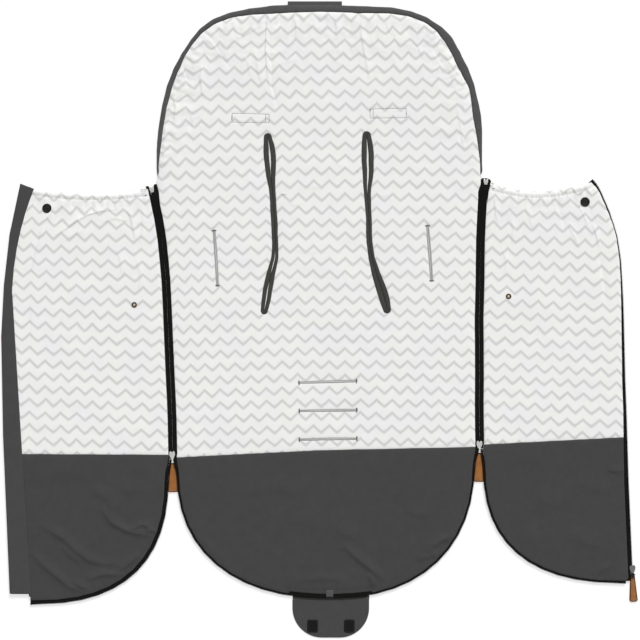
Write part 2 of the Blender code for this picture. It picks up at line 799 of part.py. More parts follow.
def make_side_zip(side, materials):
    """The back's half of the zip, and the cover's half as far as it is closed."""
    end_gap = ZIP_END_WIDTH / 2 + CLEARANCE
    tape_end = CHEST_LEVEL + TAPE_OVERHANG
    coil_end = CHEST_LEVEL - CLEARANCE
    near = back_edge(side, coil_end, COIL_NEAR, 0, end_gap)
    far = back_edge(side, coil_end, COIL_FAR, COIL_WIDTH, end_gap)
    strip(f"side_zip_coil_{side.name}", near, far, COIL_BOTTOM, COIL_TOP, materials["coil"])
    near = back_edge(side, tape_end, TAPE_NEAR, COIL_WIDTH + CLEARANCE, end_gap)
    ear = [chain_point(side, level, TAPE_NEAR + TAPE_EAR_WIDTH) for level in (tape_end, CHEST_LEVEL)]
    sewn_end = CHEST_LEVEL - CLEARANCE
    far = ear + back_edge(side, sewn_end, ZIP_BAND / 2 + TAPE_UNDER, FOOT_BAND + TAPE_UNDER, end_gap)
    strip(f"side_zip_tape_{side.name}", near, far, TAPE_BOTTOM, TAPE_TOP, materials["tape"])
    closed_end = side.slider_level - SLIDER_LENGTH / 2
    near = [chain_point(side, level, -COIL_NEAR) for level in (coil_end, closed_end)]
    far = [chain_point(side, level, -COIL_FAR) for level in (coil_end, closed_end)]
    strip(f"side_zip_cover_coil_{side.name}", near, far, COIL_BOTTOM, COIL_TOP, materials["coil"])
    edge = HINGE_OFFSET - HINGE_CLEARANCE
    near = [chain_point(side, level, -TAPE_NEAR) for level in (tape_end, closed_end)]
    far = [chain_point(side, level, -edge) for level in (tape_end, closed_end)]
    strip(f"side_zip_cover_tape_{side.name}", near, far, TAPE_BOTTOM, TAPE_TOP, materials["tape"])


def make_top_stop(side, materials):
    """The metal stop that holds both halves together above the coil."""
    outline = rounded_box(TOP_STOP_WIDTH, TOP_STOP_LENGTH, TOP_STOP_RADIUS, Vector((0, 0)))
    bottom = TAPE_TOP + CLEARANCE
    stop = slab(f"top_stop_{side.name}", outline, bottom, bottom + TOP_STOP_THICKNESS, materials["steel"])
    middle = chain_point(side, CHEST_LEVEL + TOP_STOP_LENGTH / 2)
    put(stop, (*middle, 0), chain_angle(side))


def make_zip_end(materials):
    """The strip over both side zips' ends at the toe, with a drop that fills the gap between them."""
    bottom = LINING_TOP + CLEARANCE
    middle = Vector((FOOT_CENTRE, FOOT_LEVEL + ZIP_END_LENGTH / 2))
    outline = box(ZIP_END_WIDTH, ZIP_END_LENGTH, middle)
    cover = slab("zip_end_cover", outline, bottom, bottom + ZIP_END_THICKNESS, materials["binding"])
    length = FOOT_BAND - CLEARANCE
    drop = box(ZIP_END_WIDTH, length, Vector((FOOT_CENTRE, FOOT_LEVEL + length / 2)))
    join(cover, slab("drop between the zip ends", drop, COIL_BOTTOM, bottom + ZIP_END_THICKNESS / 2))


# Covers


def stud_places(side):
    """The places of the black stud near the hem's corner and the brass stud near the side zip."""
    corner = centre_seam(side)[0]
    black = corner - Vector((side.sign * side.black_stud_inset, BLACK_STUD_DROP))
    brass = chain_point(side, side.brass_stud_level, -BRASS_STUD_DISTANCE)
    return {"black": black, "brass": brass}


def loop_pad_place(side):
    return toe_point(side) + Vector((-side.sign * LOOP_PAD_INSET, LOOP_PAD_INSET))


def loop_pad_outline(side, grow):
    return box(LOOP_PAD_SIZE + 2 * grow, LOOP_PAD_SIZE + 2 * grow, loop_pad_place(side))


def make_cover_shell(side, materials):
    """The cover's outer fabric with its bonded interlining, thinner where tape and elastic lie along its edges."""
    outline = grown_outline(cover_outline(side), -SHELL_SETBACK)
    shell = slab(f"cover_{side.name}_shell", outline, 0, RIM_TOP, materials["shell"])
    inner = grown_outline(outline, -SEAM_ALLOWANCE)
    join(shell, slab(f"{side.name} interlining", inner, SHELL_THICKNESS, WADDING_TOP))
    pad = loop_pad_outline(side, CLEARANCE)
    cut(shell, slab(f"{side.name} loop pad space", pad, -OVERRUN, PAD_THICKNESS + CLEARANCE))
    for colour, place in stud_places(side).items():
        hole = circle(STUD_BARREL_RADIUS + CLEARANCE, place)
        cut(shell, slab(f"{side.name} {colour} shell hole", hole, -OVERRUN, LINING_TOP))
        recess = circle(STUD_CAP_RADIUS + CLEARANCE, place)
        cut(shell, slab(f"{side.name} {colour} recess", recess, -OVERRUN, STUD_CAP_THICKNESS + CLEARANCE))
    return shell


def make_cover_linings(side, materials):
    outline = cover_outline(side)
    near = Vector((side.sign * (side.waist_width + SHELL_OFFSET), side.slider_level))
    far = Vector((toe_point(side).x - side.sign * SHELL_OFFSET, side.slider_level + side.seam_rise))
    seam = sorted((near, far), key=lambda p: p.x)
    pieces = make_lining_pair(f"cover_{side.name}_", outline, seam, materials)
    for colour, place in stud_places(side).items():
        hole = circle(STUD_BARREL_RADIUS + CLEARANCE, place)
        cut(pieces[0], slab(f"{side.name} {colour} lining hole", hole, LINING_BOTTOM - OVERRUN, LINING_TOP + OVERRUN))
    return pieces


def make_hem_elastic(side, materials):
    """The elastic that gathers the cover's top edge, in the hem between shell and lining."""
    end_share = (SHELL_SETBACK + SEAM_ALLOWANCE + ELASTIC_END_GAP) / side.hem_width
    shares = [end_share + (1 - 2 * end_share) * step / HEM_STEPS for step in range(HEM_STEPS + 1)]
    line = [hem_point(side, share) for share in shares]
    inset = SHELL_SETBACK + (SEAM_ALLOWANCE - ELASTIC_WIDTH) / 2
    near = shifted_path(line, side.sign * -inset)
    far = shifted_path(line, side.sign * -(inset + ELASTIC_WIDTH))
    return strip(f"cover_{side.name}_hem_elastic", near, far, TAPE_BOTTOM, TAPE_TOP, materials["elastic"])


def make_cover_zips(side, materials):
    """The cover's own halves of the side zip, below the slider, and of the centre zip."""
    junction = side.slider_level - SLIDER_REACH
    end_gap = TAPE_UNDER + TAPE_END_GAP
    near = [chain_point(side, junction, -COVER_OPEN_START)] + cover_arc(side, 0, end_gap)
    far = [chain_point(side, junction, -COVER_OPEN_START - COIL_WIDTH)] + cover_arc(side, COIL_WIDTH, end_gap)
    side_coil = strip(f"cover_{side.name}_side_coil", near, far, COIL_BOTTOM, COIL_TOP, materials["coil"])
    edge = HINGE_OFFSET + HINGE_CLEARANCE
    straight = [chain_point(side, level, -edge) for level in (side.hem_level, junction)]
    near = straight + cover_arc(side, COIL_WIDTH + CLEARANCE, end_gap)
    far = shifted_path(cover_edge(side, end_gap), side.sign * TAPE_UNDER)
    side_tape = strip(f"cover_{side.name}_side_tape", near, far, TAPE_BOTTOM, TAPE_TOP, materials["tape"])
    tape_edge = CENTRE_BAND - COIL_WIDTH - CLEARANCE
    near = centre_line(side, -TAPE_UNDER)
    far = centre_line(side, tape_edge)
    centre_tape = strip(f"cover_{side.name}_centre_tape", near, far, TAPE_BOTTOM, TAPE_TOP, materials["tape"])
    toe_gap = BOX_TOE_GAP + BOX_LENGTH + CLEARANCE
    near = centre_line(side, tape_edge + CLEARANCE, toe_gap)
    far = centre_line(side, CENTRE_BAND, toe_gap)
    centre_coil = strip(f"cover_{side.name}_centre_coil", near, far, COIL_BOTTOM, COIL_TOP, materials["coil"])
    return [side_coil, side_tape, centre_tape, centre_coil]


def make_stud(name, place, radius, thickness, material):
    """A press stud: cap in the shell, barrel, and face on the lining."""
    cap_top = STUD_CAP_THICKNESS
    face = LINING_TOP + CLEARANCE
    profile = (
        (0, 0),
        (STUD_CAP_RADIUS, 0),
        (STUD_CAP_RADIUS, cap_top),
        (STUD_BARREL_RADIUS, cap_top),
        (STUD_BARREL_RADIUS, face),
        (radius, face),
        (radius, face + thickness),
        (0, face + thickness),
    )
    return put(turned(name, profile, material), (*place, 0))


def make_cover(side, materials):
    """All that folds with one cover, carried by an empty on the fold."""
    pad = loop_pad_outline(side, 0)
    studs = stud_places(side)
    pieces = [
        make_cover_shell(side, materials),
        make_hem_elastic(side, materials),
        slab(f"cover_{side.name}_loop_pad", pad, 0, PAD_THICKNESS, materials["hook and loop"]),
        make_stud(
            f"black_stud_{side.name}", studs["black"], BLACK_STUD_RADIUS, BLACK_STUD_THICKNESS, materials["black"]
        ),
        make_stud(
            f"brass_stud_{side.name}", studs["brass"], BRASS_STUD_RADIUS, BRASS_STUD_THICKNESS, materials["brass"]
        ),
    ]
    pieces += make_cover_linings(side, materials)
    pieces += make_cover_zips(side, materials)
    hinge = chain_point(side, side.slider_level, -HINGE_OFFSET)
    fold = axis_empty(f"cover {side.name} fold", (*hinge, COVER_FOLD_HEIGHT), chain_angle(side))
    carry(fold, pieces)
    return fold


def make_zip_guard(cover_fold, materials):
    """The flap behind the centre zip, sewn to the left cover's seam and narrowest at the breast."""
    inner = centre_line(LEFT, -GUARD_OVERLAP)
    outer = []
    for length_share, width_share in GUARD_WIDTH_SHARES:
        place, normal = place_along(centre_seam(LEFT), length_share)
        outer.append(place + normal * LEFT.sign * GUARD_FOOT_WIDTH * width_share)
    top = GUARD_BOTTOM + GUARD_THICKNESS
    guard = strip("zip_guard", inner, outer, GUARD_BOTTOM, top, materials["binding"])
    lean = inner[0] - inner[-1]
    fold = axis_empty("zip guard fold", (*inner[-1], GUARD_FOLD_HEIGHT), math.atan2(-lean.x, lean.y))
    carry(cover_fold, [fold])
    carry(fold, [guard])


# Toe flap


def flap_outline():
    """The flap, square where it is sewn and round at its free end."""
    hinge = FOOT_LEVEL - FLAP_HINGE_DROP
    half = FLAP_WIDTH / 2
    across = half - FLAP_CORNER_RADIUS
    bottom = hinge - FLAP_LENGTH + FLAP_CORNER_RADIUS
    centre = flap_centre()
    left = rounded_corner(Vector((centre - across, bottom)), FLAP_CORNER_RADIUS, 2)
    right = rounded_corner(Vector((centre + across, bottom)), FLAP_CORNER_RADIUS, 3)
    return left + right + [Vector((centre + half, hinge)), Vector((centre - half, hinge))]


def make_toe_flap(materials):
    hinge = FOOT_LEVEL - FLAP_HINGE_DROP
    pieces = [slab("toe_flap", flap_outline(), 0, FLAP_THICKNESS, materials["shell"])]
    bottom = FLAP_THICKNESS + CLEARANCE
    for side in SIDES:
        place = Vector((flap_centre() + side.sign * PAD_SPREAD, hinge - FLAP_LENGTH + PAD_EDGE))
        outline = rounded_box(PAD_WIDTH, PAD_LENGTH, PAD_CORNER_RADIUS, place)
        name = f"hook_pad_{side.name}"
        pieces.append(slab(name, outline, bottom, bottom + PAD_THICKNESS, materials["hook and loop"]))
    carry(axis_empty("toe flap fold", (flap_centre(), hinge, FLAP_FOLD_HEIGHT)), pieces)


# Sliders and pullers, built round the slider's middle with the closed zip towards +Y


def slider_plate_outline():
    """A shield: full width at the shoulders, tapering to the tip where the puller hangs."""
    half = SLIDER_WIDTH / 2
    end = SLIDER_LENGTH / 2
    tip = SLIDER_TIP_WIDTH / 2
    right = [Vector((tip, -end)), Vector((half, -CLEARANCE)), Vector((half, end - SLIDER_PLATE))]
    right.append(Vector((half - SLIDER_PLATE, end)))
    return right + [Vector((-p.x, p.y)) for p in right[::-1]]


def slider_block(name, width, length, centre, bottom, top):
    return slab(name, box(width, length, centre), bottom, top)


def make_slider(name, place, angle, materials):
    """Two plates joined by the post between the coils, with flanges towards the tapes and a bail on the outer face."""
    inner = COIL_THICKNESS / 2 + CLEARANCE
    outer = inner + SLIDER_PLATE
    outline = slider_plate_outline()
    slider = slab(name, outline, -outer, -inner, materials["steel"])
    join(slider, slab(f"{name} lining plate", outline, inner, outer))
    overlap = SLIDER_PLATE / 2
    post_width = COIL_GAP - 2 * CLEARANCE
    post_centre = Vector((0, -SLIDER_POST_LENGTH / 2))
    reach = inner + overlap
    join(slider, slider_block(f"{name} post", post_width, SLIDER_POST_LENGTH, post_centre, -reach, reach))
    flange_length = SLIDER_LENGTH / 2 - SLIDER_PLATE
    flange_gap = TAPE_THICKNESS / 2 + CLEARANCE
    for sign in (-1, 1):
        middle = Vector((sign * (TAPE_NEAR + SLIDER_FLANGE / 2), flange_length / 2))
        for part, bottom, top in (("lower", -reach, -flange_gap), ("upper", flange_gap, reach)):
            flange = f"{name} {part} flange {'right' if sign > 0 else 'left'}"
            join(slider, slider_block(flange, SLIDER_FLANGE, flange_length, middle, bottom, top))
    hole = LINK_BAR + 2 * CLEARANCE
    bail_bottom = -outer - hole - BAIL_WALL
    bail = slider_block(f"{name} bail", BAIL_WIDTH, BAIL_LENGTH, Vector((0, 0)), bail_bottom, -outer + overlap)
    eye_length = BAIL_LENGTH - 2 * BAIL_FOOT
    join(slider, bail)
    eye = slider_block(f"{name} bail eye", BAIL_WIDTH + OVERRUN, eye_length, Vector((0, 0)), -outer - hole, -outer)
    cut(slider, eye)
    return put(slider, (*place, COIL_MIDDLE), angle)


def link_outline(grow):
    """The outer edge of the wire link, from the bail's eye to the leather."""
    width = LINK_WIDTH + 2 * grow
    length = LINK_LENGTH + LINK_BAR + 2 * grow
    return box(width, length, Vector((0, -LINK_LENGTH / 2)))


def link_hole_outline(grow):
    width = LINK_WIDTH - 2 * LINK_BAR - 2 * grow
    length = LINK_LENGTH - LINK_BAR - 2 * grow
    return box(width, length, Vector((0, -LINK_LENGTH / 2)))


def leather_outline():
    """A narrow neck that widens to a round-cornered end."""
    top = PULLER_GRIP - LINK_LENGTH
    end = top - PULLER_LENGTH
    across = PULLER_END_WIDTH / 2 - PULLER_CORNER_RADIUS
    left = rounded_corner(Vector((-across, end + PULLER_CORNER_RADIUS)), PULLER_CORNER_RADIUS, 2)
    right = rounded_corner(Vector((across, end + PULLER_CORNER_RADIUS)), PULLER_CORNER_RADIUS, 3)
    neck = [Vector((PULLER_NECK_WIDTH / 2, top)), Vector((-PULLER_NECK_WIDTH / 2, top))]
    return left + right + neck


def make_puller(name, place, angle, materials):
    """A wire link through the bail and a leather tab round the link's far bar."""
    half_bar = LINK_BAR / 2
    link = slab(f"puller_link_{name}", link_outline(0), -half_bar, half_bar, materials["steel"])
    cut(link, slab(f"{name} link hole", link_hole_outline(0), -OVERRUN, OVERRUN))
    half = PULLER_THICKNESS / 2
    tab = slab(f"leather_puller_{name}", leather_outline(), -half, half, materials["leather"])
    room = half_bar + CLEARANCE
    wire_space = slab(f"{name} wire space", link_outline(CLEARANCE), -room, room)
    cut(wire_space, slab(f"{name} leather inside the link", link_hole_outline(CLEARANCE), -OVERRUN, OVERRUN))
    cut(tab, wire_space)
    height = COIL_MIDDLE - PULLER_DROP
    put(wire_space, (*place, height), angle)
    put(bpy.data.objects[f"{name} link hole"], (*place, height), angle)
    put(bpy.data.objects[f"{name} leather inside the link"], (*place, height), angle)
    return [put(link, (*place, height), angle), put(tab, (*place, height), angle)]


def make_runner(name, place, angle, materials):
    """A slider on its slide axis and a puller on its hinge axis. Returns the slider's empty."""
    slide = axis_empty(f"slider {name} slide", (*place, COIL_MIDDLE), angle)
    slider = make_slider(f"slider_{name}", place, angle, materials)
    for helper in slider.modifiers:
        put(helper.object, (*place, COIL_MIDDLE), angle)
    swing = axis_empty(f"puller {name} swing", (*place, COIL_MIDDLE - PULLER_DROP), angle)
    carry(slide, [slider, swing])
    carry(swing, make_puller(name, place, angle, materials))
    return slide


def centre_chain(side, distance):
    """A place on the centre zip's chain, this far up from the toe, and the turn that takes +Y up the chain."""
    path = centre_line(side, CENTRE_BAND + COIL_NEAR)
    up = (path[-2] - path[-1]).normalized()
    return path[-1] + up * distance, math.atan2(-up.x, up.y)


def make_centre_zip(cover_fold, materials):
    """The retainer box and the slider at the foot of the right cover's centre zip."""
    place, angle = centre_chain(RIGHT, BOX_TOE_GAP + BOX_LENGTH / 2)
    outline = rounded_box(BOX_WIDTH, BOX_LENGTH, TOP_STOP_RADIUS, Vector((0, 0)))
    half = COIL_THICKNESS / 2 + BOX_WALL
    retainer = slab("centre_zip_box", outline, -half, half, materials["black"])
    put(retainer, (*place, COIL_MIDDLE), angle)
    place, angle = centre_chain(RIGHT, BOX_TOE_GAP + BOX_LENGTH + CLEARANCE + SLIDER_LENGTH / 2)
    carry(cover_fold, [retainer, make_runner("centre", place, angle, materials)])


def make_materials():
    colours = {
        "shell": ((0.065, 0.065, 0.07), 0.85, 0),
        "wadding": ((0.8, 0.8, 0.8), 0.95, 0),
        "lining": ((0.86, 0.86, 0.85), 0.9, 0),
        "foot_lining": ((0.06, 0.06, 0.065), 0.9, 0),
        "binding": ((0.08, 0.08, 0.08), 0.85, 0),
        "thread": ((0.25, 0.25, 0.24), 0.8, 0),
        "elastic": ((0.03, 0.03, 0.03), 0.8, 0),
        "tape": ((0.012, 0.012, 0.01), 0.8, 0),
        "coil": ((0.01, 0.01, 0.01), 0.4, 0),
        "hook and loop": ((0.01, 0.01, 0.01), 0.95, 0),
        "black": ((0.015, 0.015, 0.015), 0.35, 0),
        "brass": ((0.65, 0.5, 0.25), 0.3, 1),
        "steel": ((0.75, 0.75, 0.75), 0.25, 1),
        "leather": ((0.42, 0.17, 0.05), 0.6, 0),
    }
    return {name: new_material(name, *look) for name, look in colours.items()}


def main():
    clear_scene()
    materials = make_materials()
    make_back(materials)
    make_toe_flap(materials)
    folds = {side.name: make_cover(side, materials) for side in SIDES}
    make_zip_guard(folds["left"], materials)
    for side in SIDES:
        make_runner(side.name, chain_point(side, side.slider_level), chain_angle(side), materials)
    make_centre_zip(folds["right"], materials)


main()
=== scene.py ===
"""The look of a summer footmuff that lies opened flat, lining side up, seen from straight above.

X runs to the right, Y towards the head and Z up. Shapes are worked out in millimetres and built in metres.
"""

import contextlib
import math
import typing

import bmesh
import bpy
import numpy as np
from mathutils import Matrix, Vector, noise
from mathutils.geometry import delaunay_2d_cdt
from mathutils.kdtree import KDTree


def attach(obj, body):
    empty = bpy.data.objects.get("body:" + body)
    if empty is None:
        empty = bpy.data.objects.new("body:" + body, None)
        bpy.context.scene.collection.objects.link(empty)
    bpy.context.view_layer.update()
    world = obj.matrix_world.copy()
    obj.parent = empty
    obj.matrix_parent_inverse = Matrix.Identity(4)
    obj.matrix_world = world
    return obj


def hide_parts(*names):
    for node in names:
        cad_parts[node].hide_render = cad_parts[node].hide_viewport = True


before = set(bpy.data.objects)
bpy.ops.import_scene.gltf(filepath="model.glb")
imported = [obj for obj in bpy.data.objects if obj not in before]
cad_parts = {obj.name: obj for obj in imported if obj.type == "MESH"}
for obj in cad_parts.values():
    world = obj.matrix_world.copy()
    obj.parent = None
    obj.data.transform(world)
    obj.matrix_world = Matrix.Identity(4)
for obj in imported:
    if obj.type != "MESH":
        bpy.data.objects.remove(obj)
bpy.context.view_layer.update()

MM = 0.001

# Heights of the layers
SHELL_TOP = 0.8
ALLOWANCE_TOP = 3.0
WADDING_BOTTOM = 1.1
INTERLINING_TOP = 4.1
TAPE_BOTTOM = 3.3
TAPE_TOP = 4.1
COIL_MIDDLE = 3.7
LINING_BOTTOM = 4.3
LINING_TOP = 5.4
GUARD_BOTTOM = 5.8
PULLER_HEIGHT = 1.25

# Levels from the head down to the toe
RIM_MIDDLE = 250
HEAD_START = 203
STRAP_LEVEL = 317
TOE_LINE = -424.4
TOE_MIDDLE = 16

# How far the hem's seam lies from the hem, and the distance from tooth to tooth along a coil
HEM_SEAM = 9.3
COIL_PITCH = 1.3
# How far a cover's side tape runs up the closed zip, past its own coil, and its lean there
CLOSED_RUN = 420
CLOSED_LEAN = 0.07

# The printed rows: width of a zigzag, half its rise and the distance from row to row
PRINT_WIDTH = 24.6
PRINT_RISE = 11.4
PRINT_PITCH = 19.94

# The way to the light, seen from above
TO_LIGHT = (0.3, 0.954)

# Harness slits, from the head down: place, half the binding's width and half the gap
LEFT_SLIT = (
    (-80.9, 283.5, 5.6, 0.03), (-80.6, 280, 6.6, 0.03), (-79.05, 269.7, 8.7, 0.5), (-78.0, 257.3, 9.7, 1.3),
    (-77.1, 244.9, 9.0, 1.2), (-76.6, 232.5, 8.2, 0.25), (-76.1, 220.1, 6.9, 0.03), (-74.6, 207.7, 5.2, 0.03),
    (-73.5, 195.3, 4.9, 0.03), (-72.6, 182.9, 4.7, 0.03), (-72.1, 170.5, 5.0, 0.03), (-71.1, 158.1, 5.0, 0.03),
    (-70.4, 145.7, 5.1, 0.03), (-70.2, 133.3, 4.7, 0.03), (-69.5, 120.9, 4.7, 0.03), (-69.4, 108.5, 5.0, 0.03),
    (-70.1, 96.1, 5.6, 0.45), (-73.1, 83.7, 6.0, 0.5), (-76.3, 71.3, 6.7, 0.05), (-78.7, 58.9, 7.3, 0.05),
    (-81.3, 46.5, 7.3, 0.6), (-83.0, 34.1, 7.2, 0.7), (-85.2, 21.7, 6.6, 0.3), (-86.4, 14.2, 5.2, 0.03),
)
RIGHT_SLIT = (
    (72.3, 286, 6.0, 0.03), (72.4, 282.1, 7.4, 0.05), (73.3, 269.7, 8.9, 0.7), (73.9, 257.3, 9.7, 1.3),
    (73.9, 244.9, 9.4, 1.4), (74.5, 232.5, 8.8, 1.3), (74.2, 220.1, 8.0, 1.1), (73.4, 207.7, 6.2, 0.5),
    (73.5, 195.3, 5.2, 0.03), (74.2, 182.9, 5.0, 0.03), (74.8, 170.5, 4.5, 0.03), (75.7, 158.1, 4.4, 0.03),
    (75.9, 145.7, 4.6, 0.03), (76.0, 133.3, 4.6, 0.03), (76.7, 120.9, 4.7, 0.03), (78.35, 108.5, 4.6, 0.03),
    (80.1, 96.1, 4.8, 0.03), (83.7, 83.7, 5.7, 0.03), (87.0, 71.3, 6.6, 0.03), (91.3, 58.9, 7.4, 0.03),
    (95.6, 46.5, 8.0, 0.03), (99.4, 34.1, 8.2, 0.03), (102.4, 22.5, 7.2, 0.03), (104.0, 16.5, 5.6, 0.03),
)

# Stitched slots: both ends of each
STITCHED_SLOTS = {
    "lap_slot_stitching_left": ((-165, 138.5), (-160, 53.5)),
    "lap_slot_stitching_right": ((166.8, 146), (173.4, 61)),
    "crotch_slot_stitching_upper": ((-32.5, -97.2), (56.5, -94.6)),
    "crotch_slot_stitching_middle": ((-32, -141), (57, -139.5)),
    "crotch_slot_stitching_lower": ((-31.8, -185.2), (57.2, -183.8)),
}
SLOT_HALF_GAP = 0.45
SLOT_LIP = 2.1

# Ends of the rear strap, whose box stitches come through the lining: corners in order
BOX_STITCHES = (
    ((-136.2, 306.6), (-136.4, 320.4), (-79, 318.8), (-78.6, 305.4)),
    ((77.6, 312.8), (77.2, 326.8), (133, 328.2), (134.2, 313.4)),
)

# How far the side zips bow sideways from the straight line between their ends, at levels from the head down
ZIP_BOW = (
    ((212, 204, 186, 155, 124, 93, 62, 31, 0, -31, -62, -93, -124, -155, -186, -215, -250),
     (-2.8, -2.2, 0.1, 4.6, 7.3, 8.4, 9.0, 8.5, 7.7, 6.8, 6.0, 5.2, 4.6, 3.6, 2.0, 0.6, 0)),
    ((204, 186, 155, 124, 93, 62, 31, 0, -31, -62, -93, -124, -155, -186, -215, -250),
     (0.4, 0.6, -0.8, -1.8, -2.0, -1.8, -2.2, -2.7, -2.0, -1.5, -1.0, -1.0, -0.4, 0.4, 0.2, 0)),
)
# Where those straight lines lie at their upper and lower ends, the levels of these ends, and the runners' levels
ZIP_LINES = ((-257.7, -229.0), (251.6, 247.0))
ZIP_ENDS = (204, -209)
RUNNER_LEVELS = (-207, -191)

# How the head's rim is pulled: angle round the head, shift of the shell's edge, shift of the lining's edge
HEAD_RIM = (
    (-12, 0, 0), (-9, 0, 4), (-6, 0, 7.4), (-3, 0.2, 7.8), (0, 0.4, 7.2), (6, 1.2, 4.4), (9, 1.6, 2.8), (12, 2.2, 1.6),
    (15, 2.6, 0.8), (18, 1.4, 0.2), (21, 0.8, 1.6), (24, 0.6, 2.4), (27, 0.4, 1.4), (30, 0, -1.2), (33, -0.4, -2.4),
    (36, -0.4, -2), (39, 1.2, 0), (42, 3.6, 1.6), (45, 5.2, 4.4), (48, 5.3, 7), (51, 5.4, 8.2), (54, 6, 8),
    (57, 5.4, 7.6), (60, 4.8, 6.4), (63, 4.2, 4.8), (66, 3.2, 3.2), (69, 2, 1.8), (72, 1, 0.2), (75, 0.9, -1),
    (78, 1.2, 0.2), (84, 1.4, 0.6), (96, 1.5, 0.4), (102, 2.4, 0), (108, 2, -1), (111, 1.6, 0.2), (117, 1.6, 2),
    (120, 2.4, 3.8), (126, 3.2, 5), (129, 3, 4.6), (132, 1.6, 3.6), (135, -0.4, 2), (138, -2.8, -0.4),
    (141, -4, -1.8), (144, -4.8, -3.6), (147, -4.6, -5.2), (150, -4.6, -5.6), (153, -4, -5.2), (156, -3.6, -5.6),
    (159, -3.2, -4.6), (162, -2.8, -4), (165, -2, -3.4), (168, -1.3, -2.6), (171, -1, -2.2), (174, 0, -1.2),
    (177, 0.3, 0.3), (180, 0, 1.4), (183, -0.4, 2.4), (186, -1.4, 1.4), (189, -2.4, -0.8), (192, -2.4, -2), (196, 0, 0),
)

# The right cover's free edge: level, shift of the edge, how far the lining reaches over its tape
RIGHT_EDGE = (
    (-250, 0, 0), (-190, 0.8, 0.8), (-140, 1.4, 1.8), (-94, 1.6, 1.9), (-63, 2.2, 2.4), (-32, 2.8, 2.5), (-1, 3.4, 3),
    (30, 3.8, 3.5), (61, 3.5, 4.4), (92, 2.9, 4.6), (107, 1.4, 4.8), (123, -0.5, 5), (140, -2.6, 5.2),
    (154, -4, 5.2), (170, -3.8, 4.6), (185, -3.1, 5), (201, -0.3, 5.2), (216, 2.9, 3),
)


class Value:
    """A shader value that Python's own operators work on."""

    def __init__(self, finish, socket):
        self.finish = finish
        self.socket = socket

    def __add__(self, other):
        return self.finish.math("ADD", self, other)

    __radd__ = __add__

    def __sub__(self, other):
        return self.finish.math("SUBTRACT", self, other)

    def __rsub__(self, other):
        return self.finish.math("SUBTRACT", other, self)

    def __mul__(self, other):
        return self.finish.math("MULTIPLY", self, other)

    __rmul__ = __mul__

    def __truediv__(self, other):
        return self.finish.math("DIVIDE", self, other)

    def __abs__(self):
        return self.finish.math("ABSOLUTE", self)


class Nodes:
    """A node tree, with its nodes made one by one."""

    def __init__(self, tree):
        self.tree = tree
        self.tree.nodes.clear()

    def node(self, kind, settings=None, inputs=None, output=0):
        """A node with its settings, then the values or links of its sockets, as one of its outputs."""
        made = self.tree.nodes.new(f"ShaderNode{kind}")
        for setting, value in (settings or {}).items():
            setattr(made, setting, value)
        for key, value in (inputs or {}).items():
            if isinstance(value, Value):
                self.tree.links.new(value.socket, made.inputs[key])
            else:
                made.inputs[key].default_value = value
        return Value(self, made.outputs[output]) if len(made.outputs) else made

    def math(self, operation, *values):
        return self.node("Math", {"operation": operation}, dict(enumerate(values)))

    def clamped(self, value):
        return self.node("Math", {"operation": "ADD", "use_clamp": True}, {0: value, 1: 0.0})

    def seen(self):
        """1 for what is seen directly, mirrored or through something, and 0 for what only lights the rest."""
        camera, glossy, through = (
            self.node("LightPath", output=f"Is {kind} Ray") for kind in ("Camera", "Glossy", "Transmission")
        )
        return self.clamped(camera + glossy + through)


class Finish(Nodes):
    """A material and the nodes that are put into it."""

    def __init__(self, name):
        self.material = bpy.data.materials.new(name)
        self.material.use_nodes = True
        super().__init__(self.material.node_tree)

    def stripes(self, value, period):
        """A smooth wave from 0 to 1 with this period."""
        return self.math("SINE", value * (2 * math.pi / period)) * 0.5 + 0.5

    def band(self, value, low, high):
        """0 below low, 1 above high and smooth between them."""
        inputs = {"Value": value, "From Min": low, "From Max": high}
        return self.node("MapRange", {"interpolation_type": "SMOOTHSTEP"}, inputs)

    def mix(self, factor, first, second):
        colours = [value if isinstance(value, Value) else (*value, 1) for value in (first, second)]
        return self.node("Mix", {"data_type": "RGBA"}, {0: factor, 6: colours[0], 7: colours[1]}, 2)

    def places(self, attribute=None):
        """X and Y in millimetres: of the object, or of one of its attributes, which is in millimetres already."""
        if attribute:
            vector = self.node("Attribute", {"attribute_name": attribute}, output="Vector")
            return [self.node("SeparateXYZ", None, {0: vector}, axis) for axis in range(2)]
        vector = self.node("TexCoord", output="Object")
        return [self.node("SeparateXYZ", None, {0: vector}, axis) * 1000 for axis in range(2)]

    def cloud(self, size, detail=2.0, stretch=(1, 1, 1)):
        """Soft noise from 0 to 1 on the object, with lumps of about this size in millimetres."""
        vector = self.node("TexCoord", output="Object")
        scale = tuple(1000 / size * share for share in stretch)
        vector = self.node("Mapping", None, {"Vector": vector, "Scale": scale})
        return self.node("TexNoise", None, {"Vector": vector, "Scale": 1.0, "Detail": detail})

    def bump(self, height, depth, normal=None):
        """A normal from a height of 0 to 1 that stands for depth in millimetres."""
        inputs = {"Height": height, "Distance": depth * MM, "Strength": 1.0}
        if normal:
            inputs["Normal"] = normal
        return self.node("Bump", None, inputs)

    def done(self, **inputs):
        """The material, from the values of its surface's sockets."""
        named = {name.replace("_", " ").title().replace("Ior", "IOR"): value for name, value in inputs.items()}
        self.node("OutputMaterial", None, {"Surface": self.node("BsdfPrincipled", None, named)})
        return self.material


# Cloth, metal and leather


